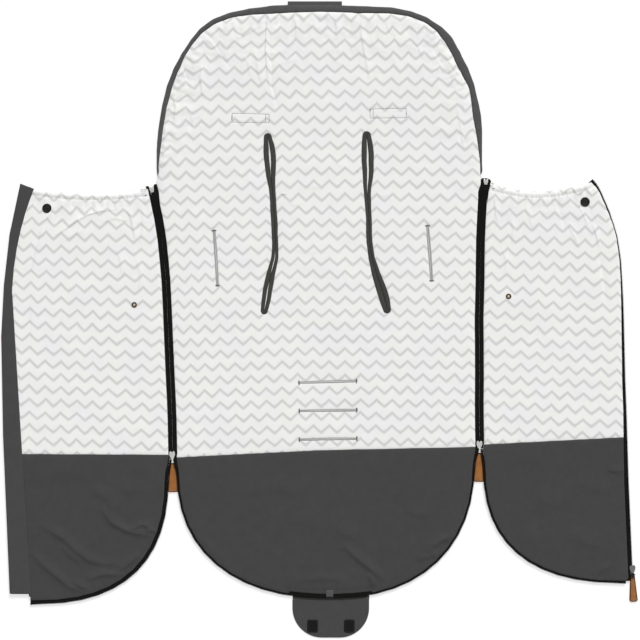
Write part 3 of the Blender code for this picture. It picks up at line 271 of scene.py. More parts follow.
def zigzag_cotton():
    """Off-white jersey printed with soft grey zigzag rows."""
    finish = Finish("zigzag cotton")
    across, along = finish.places("print")
    drift = finish.cloud(34) - 0.5
    corner = abs(finish.math("FRACT", across / PRINT_WIDTH) - 0.5)
    rounded = finish.math("SQRT", corner * corner + 0.0035)
    level = along + rounded * -2 * PRINT_RISE + drift * 1.6
    row = finish.math("FRACT", level / PRINT_PITCH + 0.5) - 0.5
    away = abs(row) * PRINT_PITCH
    feather = (finish.cloud(1.1, 3.0) - 0.5) * 0.7
    ink = 1 - finish.band(away + feather, 0.8, 4.3)
    strength = ink * (finish.cloud(48) * 0.35 + 0.78)
    tint = finish.band(finish.cloud(60, 1.0), 0.4, 0.68)
    cloth = finish.mix(tint, (0.9, 0.903, 0.87), (0.89, 0.886, 0.898))
    colour = finish.mix(finish.clamped(strength), cloth, (0.655, 0.657, 0.651))
    x, y = finish.places()
    knit = finish.stripes(x + finish.stripes(y, 1.1) * 0.18, 0.85) * (finish.stripes(y, 0.62) * 0.4 + 0.6)
    worn = finish.cloud(7) * 0.5
    normal = finish.bump(knit + worn, 0.11)
    return finish.done(base_color=colour, roughness=0.92, normal=normal, sheen_weight=0.12, specular_ior_level=0.2)


def woven(name, thread, gap, pitch=0.55, roughness=0.78, mottle=14.0, specular=0.35):
    """Dark plain-woven cloth, with its threads over and under."""
    finish = Finish(name)
    x, y = finish.places()
    warp = finish.stripes(x, pitch)
    weft = finish.stripes(y, pitch)
    weave = warp * weft + (1 - warp) * (1 - weft)
    shade = finish.clamped(weave * 0.5 + finish.cloud(mottle) * 0.5)
    colour = finish.mix(shade, gap, thread)
    rough = finish.cloud(22) * 0.12 + (roughness - 0.06)
    normal = finish.bump(weave + finish.cloud(5) * 0.5, 0.09)
    return finish.done(base_color=colour, roughness=rough, normal=normal, sheen_weight=0.06,
                       specular_ior_level=specular)


def ribbed(name, crest, groove, pitch, across_pitch, roughness=0.8, depth=0.16, specular=0.3):
    """Tape with ribs across its run, from its own attribute of run and width."""
    finish = Finish(name)
    wide, along = finish.places("run")
    rib = finish.stripes(along + finish.stripes(wide, across_pitch) * pitch * 0.5, pitch)
    shade = finish.clamped(rib * 0.7 + finish.cloud(6) * 0.4 - 0.05)
    colour = finish.mix(shade, groove, crest)
    rough = finish.cloud(9) * 0.1 + (roughness - 0.05)
    return finish.done(base_color=colour, roughness=rough, normal=finish.bump(rib, depth), specular_ior_level=specular)


def thread(name, light, dark, roughness=0.7):
    """Twisted sewing thread."""
    finish = Finish(name)
    x, y = finish.places()
    twist = finish.stripes(x + y, 0.42)
    colour = finish.mix(finish.clamped(twist * 0.6 + finish.cloud(3) * 0.4), dark, light)
    return finish.done(base_color=colour, roughness=roughness, normal=finish.bump(twist, 0.05))


def satin_stitch(name, light, dark):
    """Dense parallel stitches across the run of a buttonhole or bar."""
    finish = Finish(name)
    along = finish.places("run")[1]
    strand = finish.stripes(along + (finish.cloud(2) - 0.5) * 0.3, 0.52)
    colour = finish.mix(finish.clamped(strand * 0.75 + finish.cloud(5) * 0.3), dark, light)
    return finish.done(base_color=colour, roughness=0.72, normal=finish.bump(strand, 0.18))


def metal(name, colour, dull, roughness, metallic=1.0):
    """Plated metal with faint polishing marks and duller patches."""
    finish = Finish(name)
    marks = finish.cloud(0.9, 4.0, (1, 0.12, 1))
    patch = finish.cloud(3.2)
    shade = finish.mix(finish.clamped(marks * 0.5 + patch * 0.5), dull, colour)
    rough = marks * 0.16 + (roughness - 0.05)
    return finish.done(base_color=shade, metallic=metallic, roughness=rough, normal=finish.bump(marks, 0.012))


def leather(name, light, dark):
    """Waxed brown leather: pebbled grain, pores and a darker rubbed tone in patches."""
    finish = Finish(name)
    vector = finish.node("TexCoord", output="Object")
    cells = finish.node("TexVoronoi", {"feature": "DISTANCE_TO_EDGE"}, {"Vector": vector, "Scale": 1250.0})
    grain = finish.band(cells, 0.0, 0.25)
    patch = finish.clamped(finish.cloud(9) * 0.9 + finish.cloud(1.6) * 0.35 - 0.15)
    colour = finish.mix(patch, dark, light)
    rough = grain * 0.12 + 0.52
    return finish.done(base_color=colour, roughness=rough, normal=finish.bump(grain, 0.09), specular_ior_level=0.2)


def moulded(name, colour, roughness, specular=0.5):
    """Smooth moulded plastic or enamel, a little scuffed."""
    finish = Finish(name)
    scuff = finish.cloud(1.4, 4.0)
    lighter = tuple(part * 1.8 + 0.006 for part in colour)
    shade = finish.mix(finish.band(scuff, 0.5, 0.8), colour, lighter)
    rough = scuff * 0.2 + (roughness - 0.08)
    return finish.done(base_color=shade, roughness=rough, normal=finish.bump(scuff, 0.02), specular_ior_level=specular)


def pile(name, colour, tip, pitch, depth):
    """Hook or loop tape: rows of small tufts."""
    finish = Finish(name)
    x, y = finish.places()
    tuft = finish.stripes(x, pitch) * finish.stripes(y, pitch)
    fuzz = finish.cloud(0.6, 4.0)
    shade = finish.mix(finish.clamped(tuft * 0.7 + fuzz * 0.4), colour, tip)
    normal = finish.bump(tuft + fuzz * 0.6, depth)
    return finish.done(base_color=shade, roughness=0.88, normal=normal, specular_ior_level=0.15)


# Outlines: arrays of X and Y, counter-clockwise round a piece and clockwise round its holes


def area_of(loop):
    x, y = loop.T
    return float(np.sum(x * np.roll(y, -1) - np.roll(x, -1) * y) / 2)


def node_loops(name, up=True):
    """The closed edges of a node's upper or lower face, the outer one first."""
    shape = bmesh.new()
    shape.from_mesh(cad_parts[name].data)
    bmesh.ops.remove_doubles(shape, verts=shape.verts, dist=0.01 * MM)
    sign = 1 if up else -1
    level = max(v.co.z * sign for v in shape.verts)
    flat = [f.normal.z * sign > 0.9 and all(v.co.z * sign > level - 0.01 * MM for v in f.verts) for f in shape.faces]
    edges = [e for e in shape.edges if sum(flat[f.index] for f in e.link_faces) == 1]
    ways = {}
    for edge in edges:
        for vert in edge.verts:
            ways.setdefault(vert.index, []).append(edge)
    loops, used = [], set()
    for start in edges:
        if start.index in used:
            continue
        loop, edge, vert = [], start, start.verts[0]
        while edge.index not in used:
            used.add(edge.index)
            loop.append((vert.co.x / MM, vert.co.y / MM))
            vert = edge.other_vert(vert)
            edge = next((e for e in ways[vert.index] if e.index not in used), edge)
        loops.append(np.array(loop))
    shape.free()
    loops.sort(key=lambda loop: -abs(area_of(loop)))
    return [loop if (area_of(loop) > 0) == (rank == 0) else loop[::-1] for rank, loop in enumerate(loops)]


def smoothed(points, step, closed=True, corner=38, longest=12.0):
    """A smooth curve through an outline's points, sharp at its corners, with places about every step."""
    kept = [points[0]]
    for point in points[1:]:
        if math.dist(point, kept[-1]) > 0.35:
            kept.append(point)
    if closed and math.dist(kept[0], kept[-1]) < 0.35:
        kept.pop()
    spread = []
    ends = kept[1:] + kept[:1] if closed else kept[1:]
    for a, b in zip(kept, ends):
        count = max(1, math.ceil(math.dist(a, b) / longest))
        spread += [a + (b - a) * share / count for share in range(count)]
    if not closed:
        spread.append(kept[-1])
    places = np.array(spread)
    before = np.roll(places, 1, axis=0)
    after = np.roll(places, -1, axis=0)
    back, on = places - before, after - places
    back_length = np.linalg.norm(back, axis=1)[:, None]
    on_length = np.linalg.norm(on, axis=1)[:, None]
    turn = np.degrees(np.arccos(np.clip(np.sum(back * on, axis=1) / (back_length * on_length)[:, 0], -1, 1)))
    sharp = turn > corner
    if not closed:
        sharp[0] = sharp[-1] = True
    tangent = (on / on_length * back_length + back / back_length * on_length) / (back_length + on_length)
    curve = []
    for index in range(len(places) if closed else len(places) - 1):
        following = (index + 1) % len(places)
        start, end = places[index], places[following]
        length = math.dist(start, end)
        leave = (end - start) / length if sharp[index] else tangent[index]
        arrive = (end - start) / length if sharp[following] else tangent[following]
        count = max(1, round(length / step))
        for t in np.arange(count) / count:
            curve.append(
                (2 * t**3 - 3 * t**2 + 1) * start
                + (t**3 - 2 * t**2 + t) * length * leave
                + (3 * t**2 - 2 * t**3) * end
                + (t**3 - t**2) * length * arrive
            )
    if not closed:
        curve.append(places[-1])
    return np.array(curve)


def outer_outline(name, step=2.2):
    return [smoothed(node_loops(name)[0], step)]


def run_lengths(path):
    """How far along a path each of its places lies."""
    return np.concatenate([[0], np.cumsum(np.linalg.norm(np.diff(path, axis=0), axis=1))])


def units(vectors):
    return vectors / np.linalg.norm(vectors, axis=1)[:, None]


def evenly(path, step, closed=False):
    """The same path with places about a step apart, evenly spread."""
    path = np.vstack([path, path[:1]]) if closed else np.asarray(path, float)
    run = run_lengths(path)
    count = max(2, round(run[-1] / step))
    wanted = np.linspace(0, run[-1], count + 1)
    if closed:
        wanted = wanted[:-1]
    return np.column_stack([np.interp(wanted, run, path[:, axis]) for axis in range(path.shape[1])])


def left_normals(path, closed=False):
    if closed:
        along = np.roll(path, -1, axis=0) - np.roll(path, 1, axis=0)
    else:
        along = np.gradient(path, axis=0)
    along = units(along)
    return np.column_stack([-along[:, 1], along[:, 0]])


def inside(x, y, loops):
    """Whether each place lies in the outer loop and in none of its holes."""
    within = np.zeros(len(x), bool)
    for loop in loops:
        for (ax, ay), (bx, by) in zip(loop, np.roll(loop, -1, axis=0)):
            if ay == by:
                continue
            crosses = (ay > y) != (by > y)
            within ^= crosses & (x < (bx - ax) * (y - ay) / (by - ay) + ax)
    return within


class Line:
    """A line on the cloth that tells how far places are from it, and how far along it they lie."""

    def __init__(self, path, closed=False, step=0.6):
        self.path = evenly(path, step, closed)
        self.step = step
        self.normals = left_normals(self.path, closed)
        self.tree = KDTree(len(self.path))
        for index, (x, y) in enumerate(self.path):
            self.tree.insert((x, y, 0), index)
        self.tree.balance()

    def nearest(self, x, y):
        """Distances, the runs along the line and the distances to its left."""
        found = [self.tree.find((a, b, 0)) for a, b in zip(x, y)]
        index = np.array([f[1] for f in found])
        distance = np.array([f[2] for f in found])
        offset = np.column_stack([x, y]) - self.path[index]
        return distance, index * self.step, np.sum(offset * self.normals[index], axis=1)

    def distance(self, x, y):
        return np.array([self.tree.find((a, b, 0))[2] for a, b in zip(x, y)])


def onward(path, length, from_start=False):
    """A place this far beyond an end of a path, in line with its last step."""
    last, before = (path[0], path[1]) if from_start else (path[-1], path[-2])
    return last + (last - before) / math.dist(last, before) * length


def stretch_of(loop, kept):
    """The part of a closed outline that is kept, as one run from end to end."""
    start = next(index for index in range(len(loop)) if kept[index] and not kept[index - 1])
    return np.roll(loop, -start, axis=0)[np.roll(kept, -start)]


def lumps(x, y, size, seed=0.0):
    """Soft noise from -1 to 1 with lumps of about this size."""
    return np.array([noise.noise((a / size, b / size, seed)) for a, b in zip(x, y)])


def roll(distance, radius, drop):
    """How far an edge that rolls over has dropped at a distance from it."""
    share = np.clip(distance / radius, 0, 1)
    return drop * (1 - np.sqrt(1 - (1 - share) ** 2))


def step_up(value, low, high):
    """0 below low, 1 above high and smooth between them."""
    share = np.clip((value - low) / (high - low), 0, 1)
    return share * share * (3 - 2 * share)


# How wide a crease is towards the light, and on its far side in the stiffer foot linings
NEAR_SIDE = 1.9
FOOT_FAR_SIDE = 1.05


def ridge(distance, width, place=0.0):
    """1 at a place and fading on both sides of it."""
    return np.exp(-(((distance - place) / width) ** 2))


def fold(x, y, path, width, height, far_side=0.55):
    """The height of a crease along a path: gentle towards the light and steep on its far side, tapering off."""
    line = Line(smoothed(np.array(path, float), 1.0, closed=False, corner=90), step=1.0)
    distance, run, side = line.nearest(x, y)
    whole = len(line.path) * line.step
    taper = np.sin(np.clip(run / whole, 0, 1) * math.pi) ** 0.6
    lit = 1 if np.mean(line.normals @ TO_LIGHT) > 0 else -1
    wide = np.where(side * lit > 0, width * NEAR_SIDE, width * far_side)
    beyond = np.maximum(distance - np.abs(side), 0)
    return height * taper * ridge(side, wide) * ridge(beyond, width)


def crumple(x, y, size, seed=0.0):
    """Creased cloth from -1 to 1: soft faces that meet along sharper lines."""
    wander = lumps(x, y, size * 1.7, seed + 40) * size * 0.4
    return 1 - 2.6 * np.abs(lumps(x + wander, y - wander, size, seed))


def fold_rows(folds):
    """Places along both flanks of each fold, so that the mesh follows it."""
    rows = []
    for path, width, _ in folds:
        spine = evenly(smoothed(np.array(path, float), 1.0, closed=False, corner=90), 1.5)
        normals = left_normals(spine)
        rows += [spine + normals * width * share for share in (-2, -1.2, -0.75, -0.4, -0.15, 0.15, 0.4, 0.75, 1.2, 2)]
    return rows


# Meshes


def at_rim(loop, layer):
    """A loop of the back with its head moved in or out as the rim is pulled: layer 1 the shell, 2 the lining."""
    away = loop - (0, RIM_MIDDLE)
    angles, *shifts = zip(*HEAD_RIM)
    turn = np.degrees(np.arctan2(away[:, 1], away[:, 0]))
    turn[turn < -90] += 360
    shift = np.interp(turn, angles, shifts[layer - 1])
    return loop + units(away) * shift[:, None]


def raised(points):
    """The right zip's top end, which reaches higher than the hem and leans out."""
    share = np.interp(points[:, 1], (186, 207), (0, 1))
    return points + share[:, None] * np.array([4.6, 10.5])


def bowed(vertices):
    """Moves what lies near a side zip to the side, as the zip bows there, and draws its open edges to the runner.

    The right cover's free edge is moved as well.
    """
    moved = np.array(vertices, float)
    x, y = moved[:, 0].copy(), moved[:, 1]
    for (levels, shifts), ends, runner in zip(ZIP_BOW, ZIP_LINES, RUNNER_LEVELS):
        from_zip = x - np.interp(y, ZIP_ENDS[::-1], ends[::-1])
        shift = np.interp(y, levels[::-1], shifts[::-1])
        moved[:, 0] += shift * ridge(from_zip, 62)
        pinch = np.interp(y - runner, (-48, -36, -24, -12, -5, 0), (0, 0.4, 1.5, 2.1, 1.2, 0))
        moved[:, 0] -= pinch * np.tanh(from_zip / 2) * ridge(from_zip, 17)
    levels, shifts, _ = zip(*RIGHT_EDGE)
    moved[:, 0] += np.interp(y, levels, shifts, left=0) * step_up(x, 405, 440)
    return moved


def finish_mesh(name, vertices, faces, material, body, sharp=50, attributes=None):
    """An object of vertices in millimetres that rides on a body."""
    vertices = bowed(vertices)
    mesh = bpy.data.meshes.new(name)
    mesh.from_pydata((np.asarray(vertices) * MM).tolist(), [], faces if isinstance(faces, list) else faces.tolist())
    mesh.materials.append(material)
    mesh.shade_smooth()
    mesh.set_sharp_from_angle(angle=math.radians(sharp))
    for attribute, values in (attributes or {}).items():
        made = mesh.attributes.new(attribute, "FLOAT_VECTOR", "POINT")
        made.data.foreach_set("vector", np.asarray(values, np.float32).ravel())
    obj = bpy.data.objects.new(name, mesh)
    bpy.context.scene.collection.objects.link(obj)
    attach(obj, body)
    return obj


def plan(loops, step, rows, finer=None, extra=()):
    """Triangles over an outline: its edge, rows along it, and a grid that may be finer in places."""
    points, edges = [], []
    for loop in loops:
        first = len(points)
        points += list(loop)
        edges += [(first + i, first + (i + 1) % len(loop)) for i in range(len(loop))]
    rim = np.vstack([evenly(loop, 0.6, True) for loop in loops])
    tree = KDTree(len(rim))
    for index, (x, y) in enumerate(rim):
        tree.insert((x, y, 0), index)
    tree.balance()

    def keep(candidates, room):
        candidates = candidates[inside(*candidates.T, loops)]
        return [p for p in candidates if tree.find((p[0], p[1], 0))[2] > room]

    added = []
    for row, distance in enumerate(rows):
        for loop in loops:
            around = loop + left_normals(loop, True) * distance
            added += keep(around[:: row + 1], distance * 0.92)
    for candidates in extra:
        added += keep(np.asarray(candidates), 0.5)
    low, high = loops[0].min(axis=0), loops[0].max(axis=0)
    reach = (rows[-1] if rows else 0) + step * 0.5

    def grid(size):
        rise = size * math.sqrt(3) / 2
        lines = []
        for number, y in enumerate(np.arange(low[1], high[1], rise)):
            x = np.arange(low[0] + (size / 2 if number % 2 else 0), high[0], size)
            lines.append(np.column_stack([x, np.full(len(x), y)]))
        return np.vstack(lines)

    crowd = KDTree(len(added) + 1)
    crowd.insert((9999, 9999, 0), 0)
    for index, p in enumerate(added):
        crowd.insert((p[0], p[1], 0), index + 1)
    crowd.balance()

    def apart(candidates, room):
        return [p for p in candidates if crowd.find((p[0], p[1], 0))[2] > room]

    coarse = grid(step)
    if finer:
        coarse = coarse[~finer(*coarse.T)]
        fine = grid(step / 2)
        added += apart(keep(fine[finer(*fine.T)], (rows[-1] if rows else 0) + step * 0.3), step * 0.3)
    added += apart(keep(coarse, reach), step * 0.42)
    points += added
    made, _, faces, *_ = delaunay_2d_cdt([Vector((float(p[0]), float(p[1]))) for p in points], edges, [], 0, 1e-4)
    places = np.array([tuple(p) for p in made])
    faces = np.array(faces)
    middles = places[faces].mean(axis=1)
    faces = faces[inside(*middles.T, loops)]
    a, b, c = (places[faces[:, corner]] for corner in range(3))
    signed = (b[:, 0] - a[:, 0]) * (c[:, 1] - a[:, 1]) - (b[:, 1] - a[:, 1]) * (c[:, 0] - a[:, 0])
    faces = faces[np.abs(signed) > 1e-6]
    signed = signed[np.abs(signed) > 1e-6]
    faces[signed < 0] = faces[signed < 0][:, ::-1]
    used = np.unique(faces)
    fresh = np.full(len(places), -1)
    fresh[used] = np.arange(len(used))
    return places[used], fresh[faces]


def cloth(name, loops, top, bottom, material, body, step=4.0, rows=(0.5, 1.3, 2.6), finer=None, extra=(), move=None,
          printed=None, run=None):
    """A closed piece of cloth over an outline, between a lower and an upper height at each place."""
    places, faces = plan(loops, step, rows, finer, extra)
    x, y = places.T
    over = top(x, y)
    under = np.minimum(bottom(x, y), over - 0.15)
    shifted = places + move(x, y) if move else places
    count = len(places)
    ways = {}
    for a, b, c in faces.tolist():
        for way in ((a, b), (b, c), (c, a)):
            ways[way] = True
    walls = [[b, a, a + count, b + count] for a, b in ways if (b, a) not in ways]
    vertices = np.vstack([np.column_stack([shifted, over]), np.column_stack([shifted, under])])
    everything = faces.tolist() + (faces[:, ::-1] + count).tolist() + walls
    attributes = {}
    if printed:
        pattern = np.column_stack([*printed(x, y), np.zeros(count)])
        attributes["print"] = np.vstack([pattern, pattern])
    if run is not None:
        _, along, aside = run.nearest(x, y)
        lie = np.column_stack([aside, along, np.zeros(count)])
        attributes["run"] = np.vstack([lie, lie])
    return finish_mesh(name, vertices, everything, material, body, attributes=attributes)


def laid(loops):
    """Works out the size of a sheet that lies flat, cut to its own outline, and does nothing with it."""
    size = (loops[0].max(axis=0) - loops[0].min(axis=0)) * MM


def level(height):
    """The same height at every place."""
    return lambda x, y: np.full(len(x), height)


def rolled(edge, height, radius, drop):
    """A height that drops where an edge rolls over, or rises there if the drop is negative."""
    return lambda x, y: height - roll(edge.distance(x, y), radius, drop)


def ring_faces(rings, size, closed=True):
    """Faces between rings of this many corners, with flat ends on an open run."""
    faces = []
    for ring in range(rings if closed else rings - 1):
        on = (ring + 1) % rings
        for corner in range(size):
            side = (corner + 1) % size
            faces.append([ring * size + corner, ring * size + side, on * size + side, on * size + corner])
    if not closed:
        first = list(range(size))
        faces += [first[::-1], [(rings - 1) * size + corner for corner in first]]
    return faces


def swept(name, path, section, material, body):
    """A solid along a path: section gives, for each place, the points round it as distances to the left and heights."""
    rings, lie = [], []
    for index, (place, normal, along) in enumerate(zip(path, left_normals(path), run_lengths(path))):
        around = np.array(section(index), float)
        rings.append(np.column_stack([place + normal * around[:, :1], around[:, 1]]))
        lie += [(wide + high, along, 0) for wide, high in around]
    faces = ring_faces(len(rings), len(rings[0]), closed=False)
    obj = finish_mesh(name, np.vstack(rings), faces, material, body, attributes={"run": lie})
    face_outwards(obj)
    return obj


def face_outwards(obj):
    shape = bmesh.new()
    shape.from_mesh(obj.data)
    bmesh.ops.recalc_face_normals(shape, faces=shape.faces)
    shape.to_mesh(obj.data)
    shape.free()


def repeated(name, vertices, faces, transforms, material, body, sharp=40):
    """One small shape, in millimetres, put down many times as a single mesh."""
    base = np.asarray(vertices)
    points, everything = [], []
    for number, (turn, place) in enumerate(transforms):
        points.append(base @ np.asarray(turn).T + place)
        everything += [[corner + number * len(base) for corner in face] for face in faces]
    return finish_mesh(name, np.vstack(points), everything, material, body, sharp)


def along_turn(direction):
    """A turn that takes +Y to this direction in the plane."""
    x, y = direction
    return np.array([[y, x, 0], [-x, y, 0], [0, 0, 1]])


def stitch_shape(length, radius, sink):
    """One stitch: a short thread that dives into the cloth at both ends."""
    vertices, faces = [], []
    stations = (
        (-0.5, 0.45, -sink), (-0.34, 0.9, -sink * 0.15), (0, 1.0, 0.0), (0.34, 0.9, -sink * 0.15), (0.5, 0.45, -sink),
    )
    sides = 6
    for share, size, height in stations:
        for side in range(sides):
            angle = 2 * math.pi * side / sides
            vertices.append((math.cos(angle) * radius * size, share * length, height + math.sin(angle) * radius * size))
    for ring in range(len(stations) - 1):
        for side in range(sides):
            on = (side + 1) % sides
            first, second = ring * sides, (ring + 1) * sides
            faces.append([first + side, second + side, second + on, first + on])
    faces.append(list(range(sides)))
    faces.append([len(vertices) - 1 - side for side in range(sides)])
    return vertices, faces


def stitched(name, paths, height, material, body, pitch=3.4, length=2.5, radius=0.24, sink=0.3):
    """Runs of stitches along paths, lying on the cloth at the height that is given for each place."""
    vertices, faces = stitch_shape(length, radius, sink)
    transforms = []
    for path in paths:
        places = evenly(path, pitch)
        middles = (places[1:] + places[:-1]) / 2
        ways = units(np.diff(places, axis=0))
        levels = height(*middles.T)
        transforms += [(along_turn(way), (*middle, level)) for middle, way, level in zip(middles, ways, levels)]
    return repeated(name, vertices, faces, transforms, material, body)


# Harness slots


def slot_ring(path, half):
    """The outline at these half widths round a path that runs down, counter-clockwise and with round ends."""
    normals = left_normals(path)
    left = path + normals * half[:, None]
    right = path - normals * half[:, None]

    def cap(middle, start):
        arm = start - middle
        steps = [math.pi * step / 10 for step in range(1, 10)]
        return [
            middle + (arm[0] * math.cos(a) - arm[1] * math.sin(a), arm[0] * math.sin(a) + arm[1] * math.cos(a))
            for a in steps
        ]

    return np.vstack([right, cap(path[-1], right[-1]), left[::-1], cap(path[0], left[0])])


def slit_shape(stations):
    """A slit's centre line with half the binding's width and half the gap along it."""
    path = evenly(smoothed(np.array([s[:2] for s in stations], float), 1.2, closed=False, corner=90), 1.3)
    levels = [-s[1] for s in stations]
    half = np.interp(-path[:, 1], levels, [s[2] for s in stations])
    gap = np.interp(-path[:, 1], levels, [s[3] for s in stations])
    return path, half, gap


def slot_shapes():
    """Each slot's name with its outer ring, its inner ring and its centre line."""
    shapes = {}
    for name, stations in (("slit_binding_left", LEFT_SLIT), ("slit_binding_right", RIGHT_SLIT)):
        path, half, gap = slit_shape(stations)
        soft = np.convolve(np.pad(half, 6, mode="edge"), np.ones(13) / 13, mode="valid")
        shapes[name] = (slot_ring(path, soft), slot_ring(path, gap), path)
    for name, (start, end) in STITCHED_SLOTS.items():
        path = evenly(np.array([start, end], float), 1.2)
        bow = np.sin(np.linspace(0, math.pi, len(path)))
        path = path + left_normals(path) * (bow * 0.35)[:, None]
        gap = SLOT_HALF_GAP * (0.55 + 0.65 * bow)
        lip = SLOT_LIP if name.startswith("lap") else 0.75 * SLOT_LIP
        shapes[name] = (slot_ring(path, gap + lip), slot_ring(path, gap), path)
    return shapes


def ring_between(name, inner, outer, profile, material, body):
    """A closed ring between two matching outlines: profile gives shares of the way out, and heights."""
    vertices, lie = [], []
    for near, far, along in zip(inner, outer, run_lengths(outer)):
        width = math.dist(near, far)
        for share, height in profile:
            vertices.append((*(near + (far - near) * share), height))
            lie.append((share * width + height, along, 0))
    obj = finish_mesh(name, vertices, ring_faces(len(inner), len(profile)), material, body, 60, {"run": lie})
    face_outwards(obj)
    return obj


BINDING_PROFILE = (
    (0, 0.9), (0, 5.0), (0.05, 5.6), (0.16, 6.05), (0.36, 6.3), (0.6, 6.3), (0.76, 6.12), (0.82, 6.2), (0.93, 5.95),
    (1, 5.45), (1, 0.5), (0.92, 0.15), (0.5, 0.0), (0.15, 0.12), (0.03, 0.45),
)
LIP_PROFILE = (
    (0, 0.7), (0, 5.1), (0.08, 5.6), (0.3, 5.95), (0.6, 5.9), (0.88, 5.65), (1, 5.2), (1, 0.35), (0.75, 0.02),
    (0.3, 0.05),
)


def bar_tack(name, middle, half_length, direction, material):
    """A bar of dense stitches over the end of a slot."""
    ends = np.array([middle - direction * half_length, middle + direction * half_length])
    path = evenly(ends, 0.8)
    count = len(path)

    def section(index):
        low = 0.35 if index in (0, count - 1) else 0.0
        return ((-0.95, 5.0), (0.95, 5.0), (0.95, 5.7 - low), (0.5, 6.15 - low), (-0.5, 6.15 - low), (-0.95, 5.7 - low))

    return swept(name, path, section, material, "back")


def make_slots(shapes, finishes):
    for name, (outer, inner, path) in shapes.items():
        slit = name.startswith("slit")
        profile = BINDING_PROFILE if slit else LIP_PROFILE
        material = finishes["binding"] if slit else finishes["buttonhole"]
        ring = ring_between(f"{name}_cloth" if slit else f"{name}_lips", inner, outer, profile, material, "back")
        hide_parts(name)
        if slit:
            middle = inner + (outer - inner) * 0.8
            loop = np.vstack([middle, middle[:1]])
            seam = stitched(f"{name}_stitches", [loop], level(6.18), finishes["dark thread"], "back", pitch=3.0,
                            length=2.2, radius=0.17, sink=0.22)
        else:
            way = (path[-1] - path[0]) / math.dist(path[-1], path[0])
            across = np.array([-way[1], way[0]])
            for end, place in (("first", path[0]), ("last", path[-1])):
                bar = bar_tack(f"{name}_{end}_bar", place, 3.7, across, finishes["bar tack"])


# Back panel


HEAD_FOLDS = (
    (((-80.6, 474), (-83, 445), (-84, 415), (-80.6, 374)), 2, 1.5),
    (((-77, 412), (-75, 385), (-76, 366), (-66.7, 328)), 2.2, -0.94),
    (((65, 464), (64, 446), (68, 420), (77, 372)), 2.4, 1),
    (((-183, 392), (-184, 372), (-181, 346)), 2.6, 1.3),
    (((-170, 440), (-158, 420), (-146, 398), (-138, 386)), 2.8, -0.48),
    (((-130, 434), (-112, 444), (-96, 455)), 2.4, 0.7),
    (((-68, 450), (-63, 460), (-58, 470)), 2.2, -1.4),
    (((-104, 420), (-98, 404), (-96, 384), (-90, 366)), 2.4, 0.6),
    (((-120, 410), (-112, 398), (-108, 380)), 2.4, 0.55),
    (((-212, 392), (-206, 378), (-204, 358)), 2.4, -0.8),
    (((-226, 346), (-221, 330), (-224, 306), (-230, 284)), 2.6, 1.4),
    (((-214, 372), (-220, 352), (-230, 336)), 2.6, -1.2),
    (((-236, 300), (-239, 270), (-241, 240)), 2.6, 1),
    (((-205, 330), (-198, 316), (-196, 296)), 2.8, 0.5),
    (((165, 442), (178, 414), (192, 390), (208, 364)), 3, -0.48),
    (((140, 440), (152, 424), (160, 404)), 2.8, 0.5),
    (((190, 420), (200, 400), (214, 380)), 2.6, 0.55),
    (((130, 452), (142, 436), (150, 420)), 2.8, -0.27),
    (((-40, 468), (-36, 452), (-38, 438)), 2.2, 0.85),
    (((22, 468), (26, 452), (24, 440)), 2, 0.77),
    (((-16, 470), (-12, 458), (-6, 450)), 2, -0.27),
    (((102, 462), (106, 450), (112, 442)), 2.2, 0.45),
    (((212, 330), (218, 300), (222, 268)), 3, 0.68),
    (((-30, 200), (-12, 206), (10, 204)), 4, 0.3),
    (((-54, 186), (-40, 178), (-30, 180)), 3, 0.3),
    (((86, 200), (96, 192), (110, 194)), 3, 0.35),
    (((-40, 110), (-20, 104), (0, 108)), 4, 0.3),
    (((20, 250), (30, 240), (42, 236)), 3, 0.3),
    (((-120, 220), (-104, 214), (-96, 218)), 3, 0.3),
)

FOOT_FOLDS = (
    (((36, -348), (54, -366), (69, -378), (84, -390), (99, -403)), 3.8, 2.3),
    (((168, -362), (176, -350), (188, -341), (200, -337), (210, -335)), 3.5, 2.2),
    (((74, -393), (79, -401), (83, -411)), 2.9, 1.7),
    (((26, -320), (40, -332), (56, -336)), 5.8, 1.2),
    (((-190, -330), (-172, -352), (-150, -372)), 6.5, 1.1),
    (((130, -292), (150, -300), (176, -298)), 5.8, 1.1),
    (((-120, -268), (-60, -262), (-10, -270)), 8.7, 0.93),
    (((-60, -300), (-20, -318), (20, -312)), 8.7, 0.93),
    (((150, -372), (166, -366), (184, -362)), 3.5, 1.4),
    (((-40, -404), (0, -400), (40, -403)), 3.8, 1.1),
)


def head_print(x, y):
    """Where each place of the back lies on the printed cloth before it was sewn and gathered."""
    sag = 0.034 * np.minimum(x + 35, 0) - 0.012 * np.maximum(x - 130, 0)
    near_head = step_up(y, 300, 470)
    at_left = step_up(-x, 120, 200) * step_up(y, 190, 300)
    wander = 1.2 + 1.7 * near_head
    along = (y - 383.4) - sag + wander * lumps(x, y, 62, 3.1) + (0.7 + 2.2 * at_left) * lumps(x, y, 26, 5.5)
    across = (x + 34.2) * (1 + 0.012 * step_up(-y, -380, 60)) + wander * 1.1 * lumps(x, y, 55, 8.4)
    across += (0.6 + 2.6 * at_left) * lumps(x, y, 28, 14.0)
    near_rim = step_up(np.hypot(x + 10, np.maximum(y - RIM_MIDDLE, 0)), 185, 232)
    near_rim = np.clip(near_rim + 0.4 * near_head, 0, 1)
    along += 2.1 * near_rim * lumps(x, y, 15, 11.0)
    across += 2.6 * near_rim * lumps(x, y, 17, 12.0)
    across += 3.5 * step_up(x, -86, -76) * step_up(y, 335, 372)
    across -= 2.6 * step_up(x, 63, 71) * step_up(y, 368, 392)
    return across, along


def toe_line(x):
    """The foot lining's end, which bends up a little to both sides."""
    return TOE_LINE + 0.0011 * (x - TOE_MIDDLE) ** 2


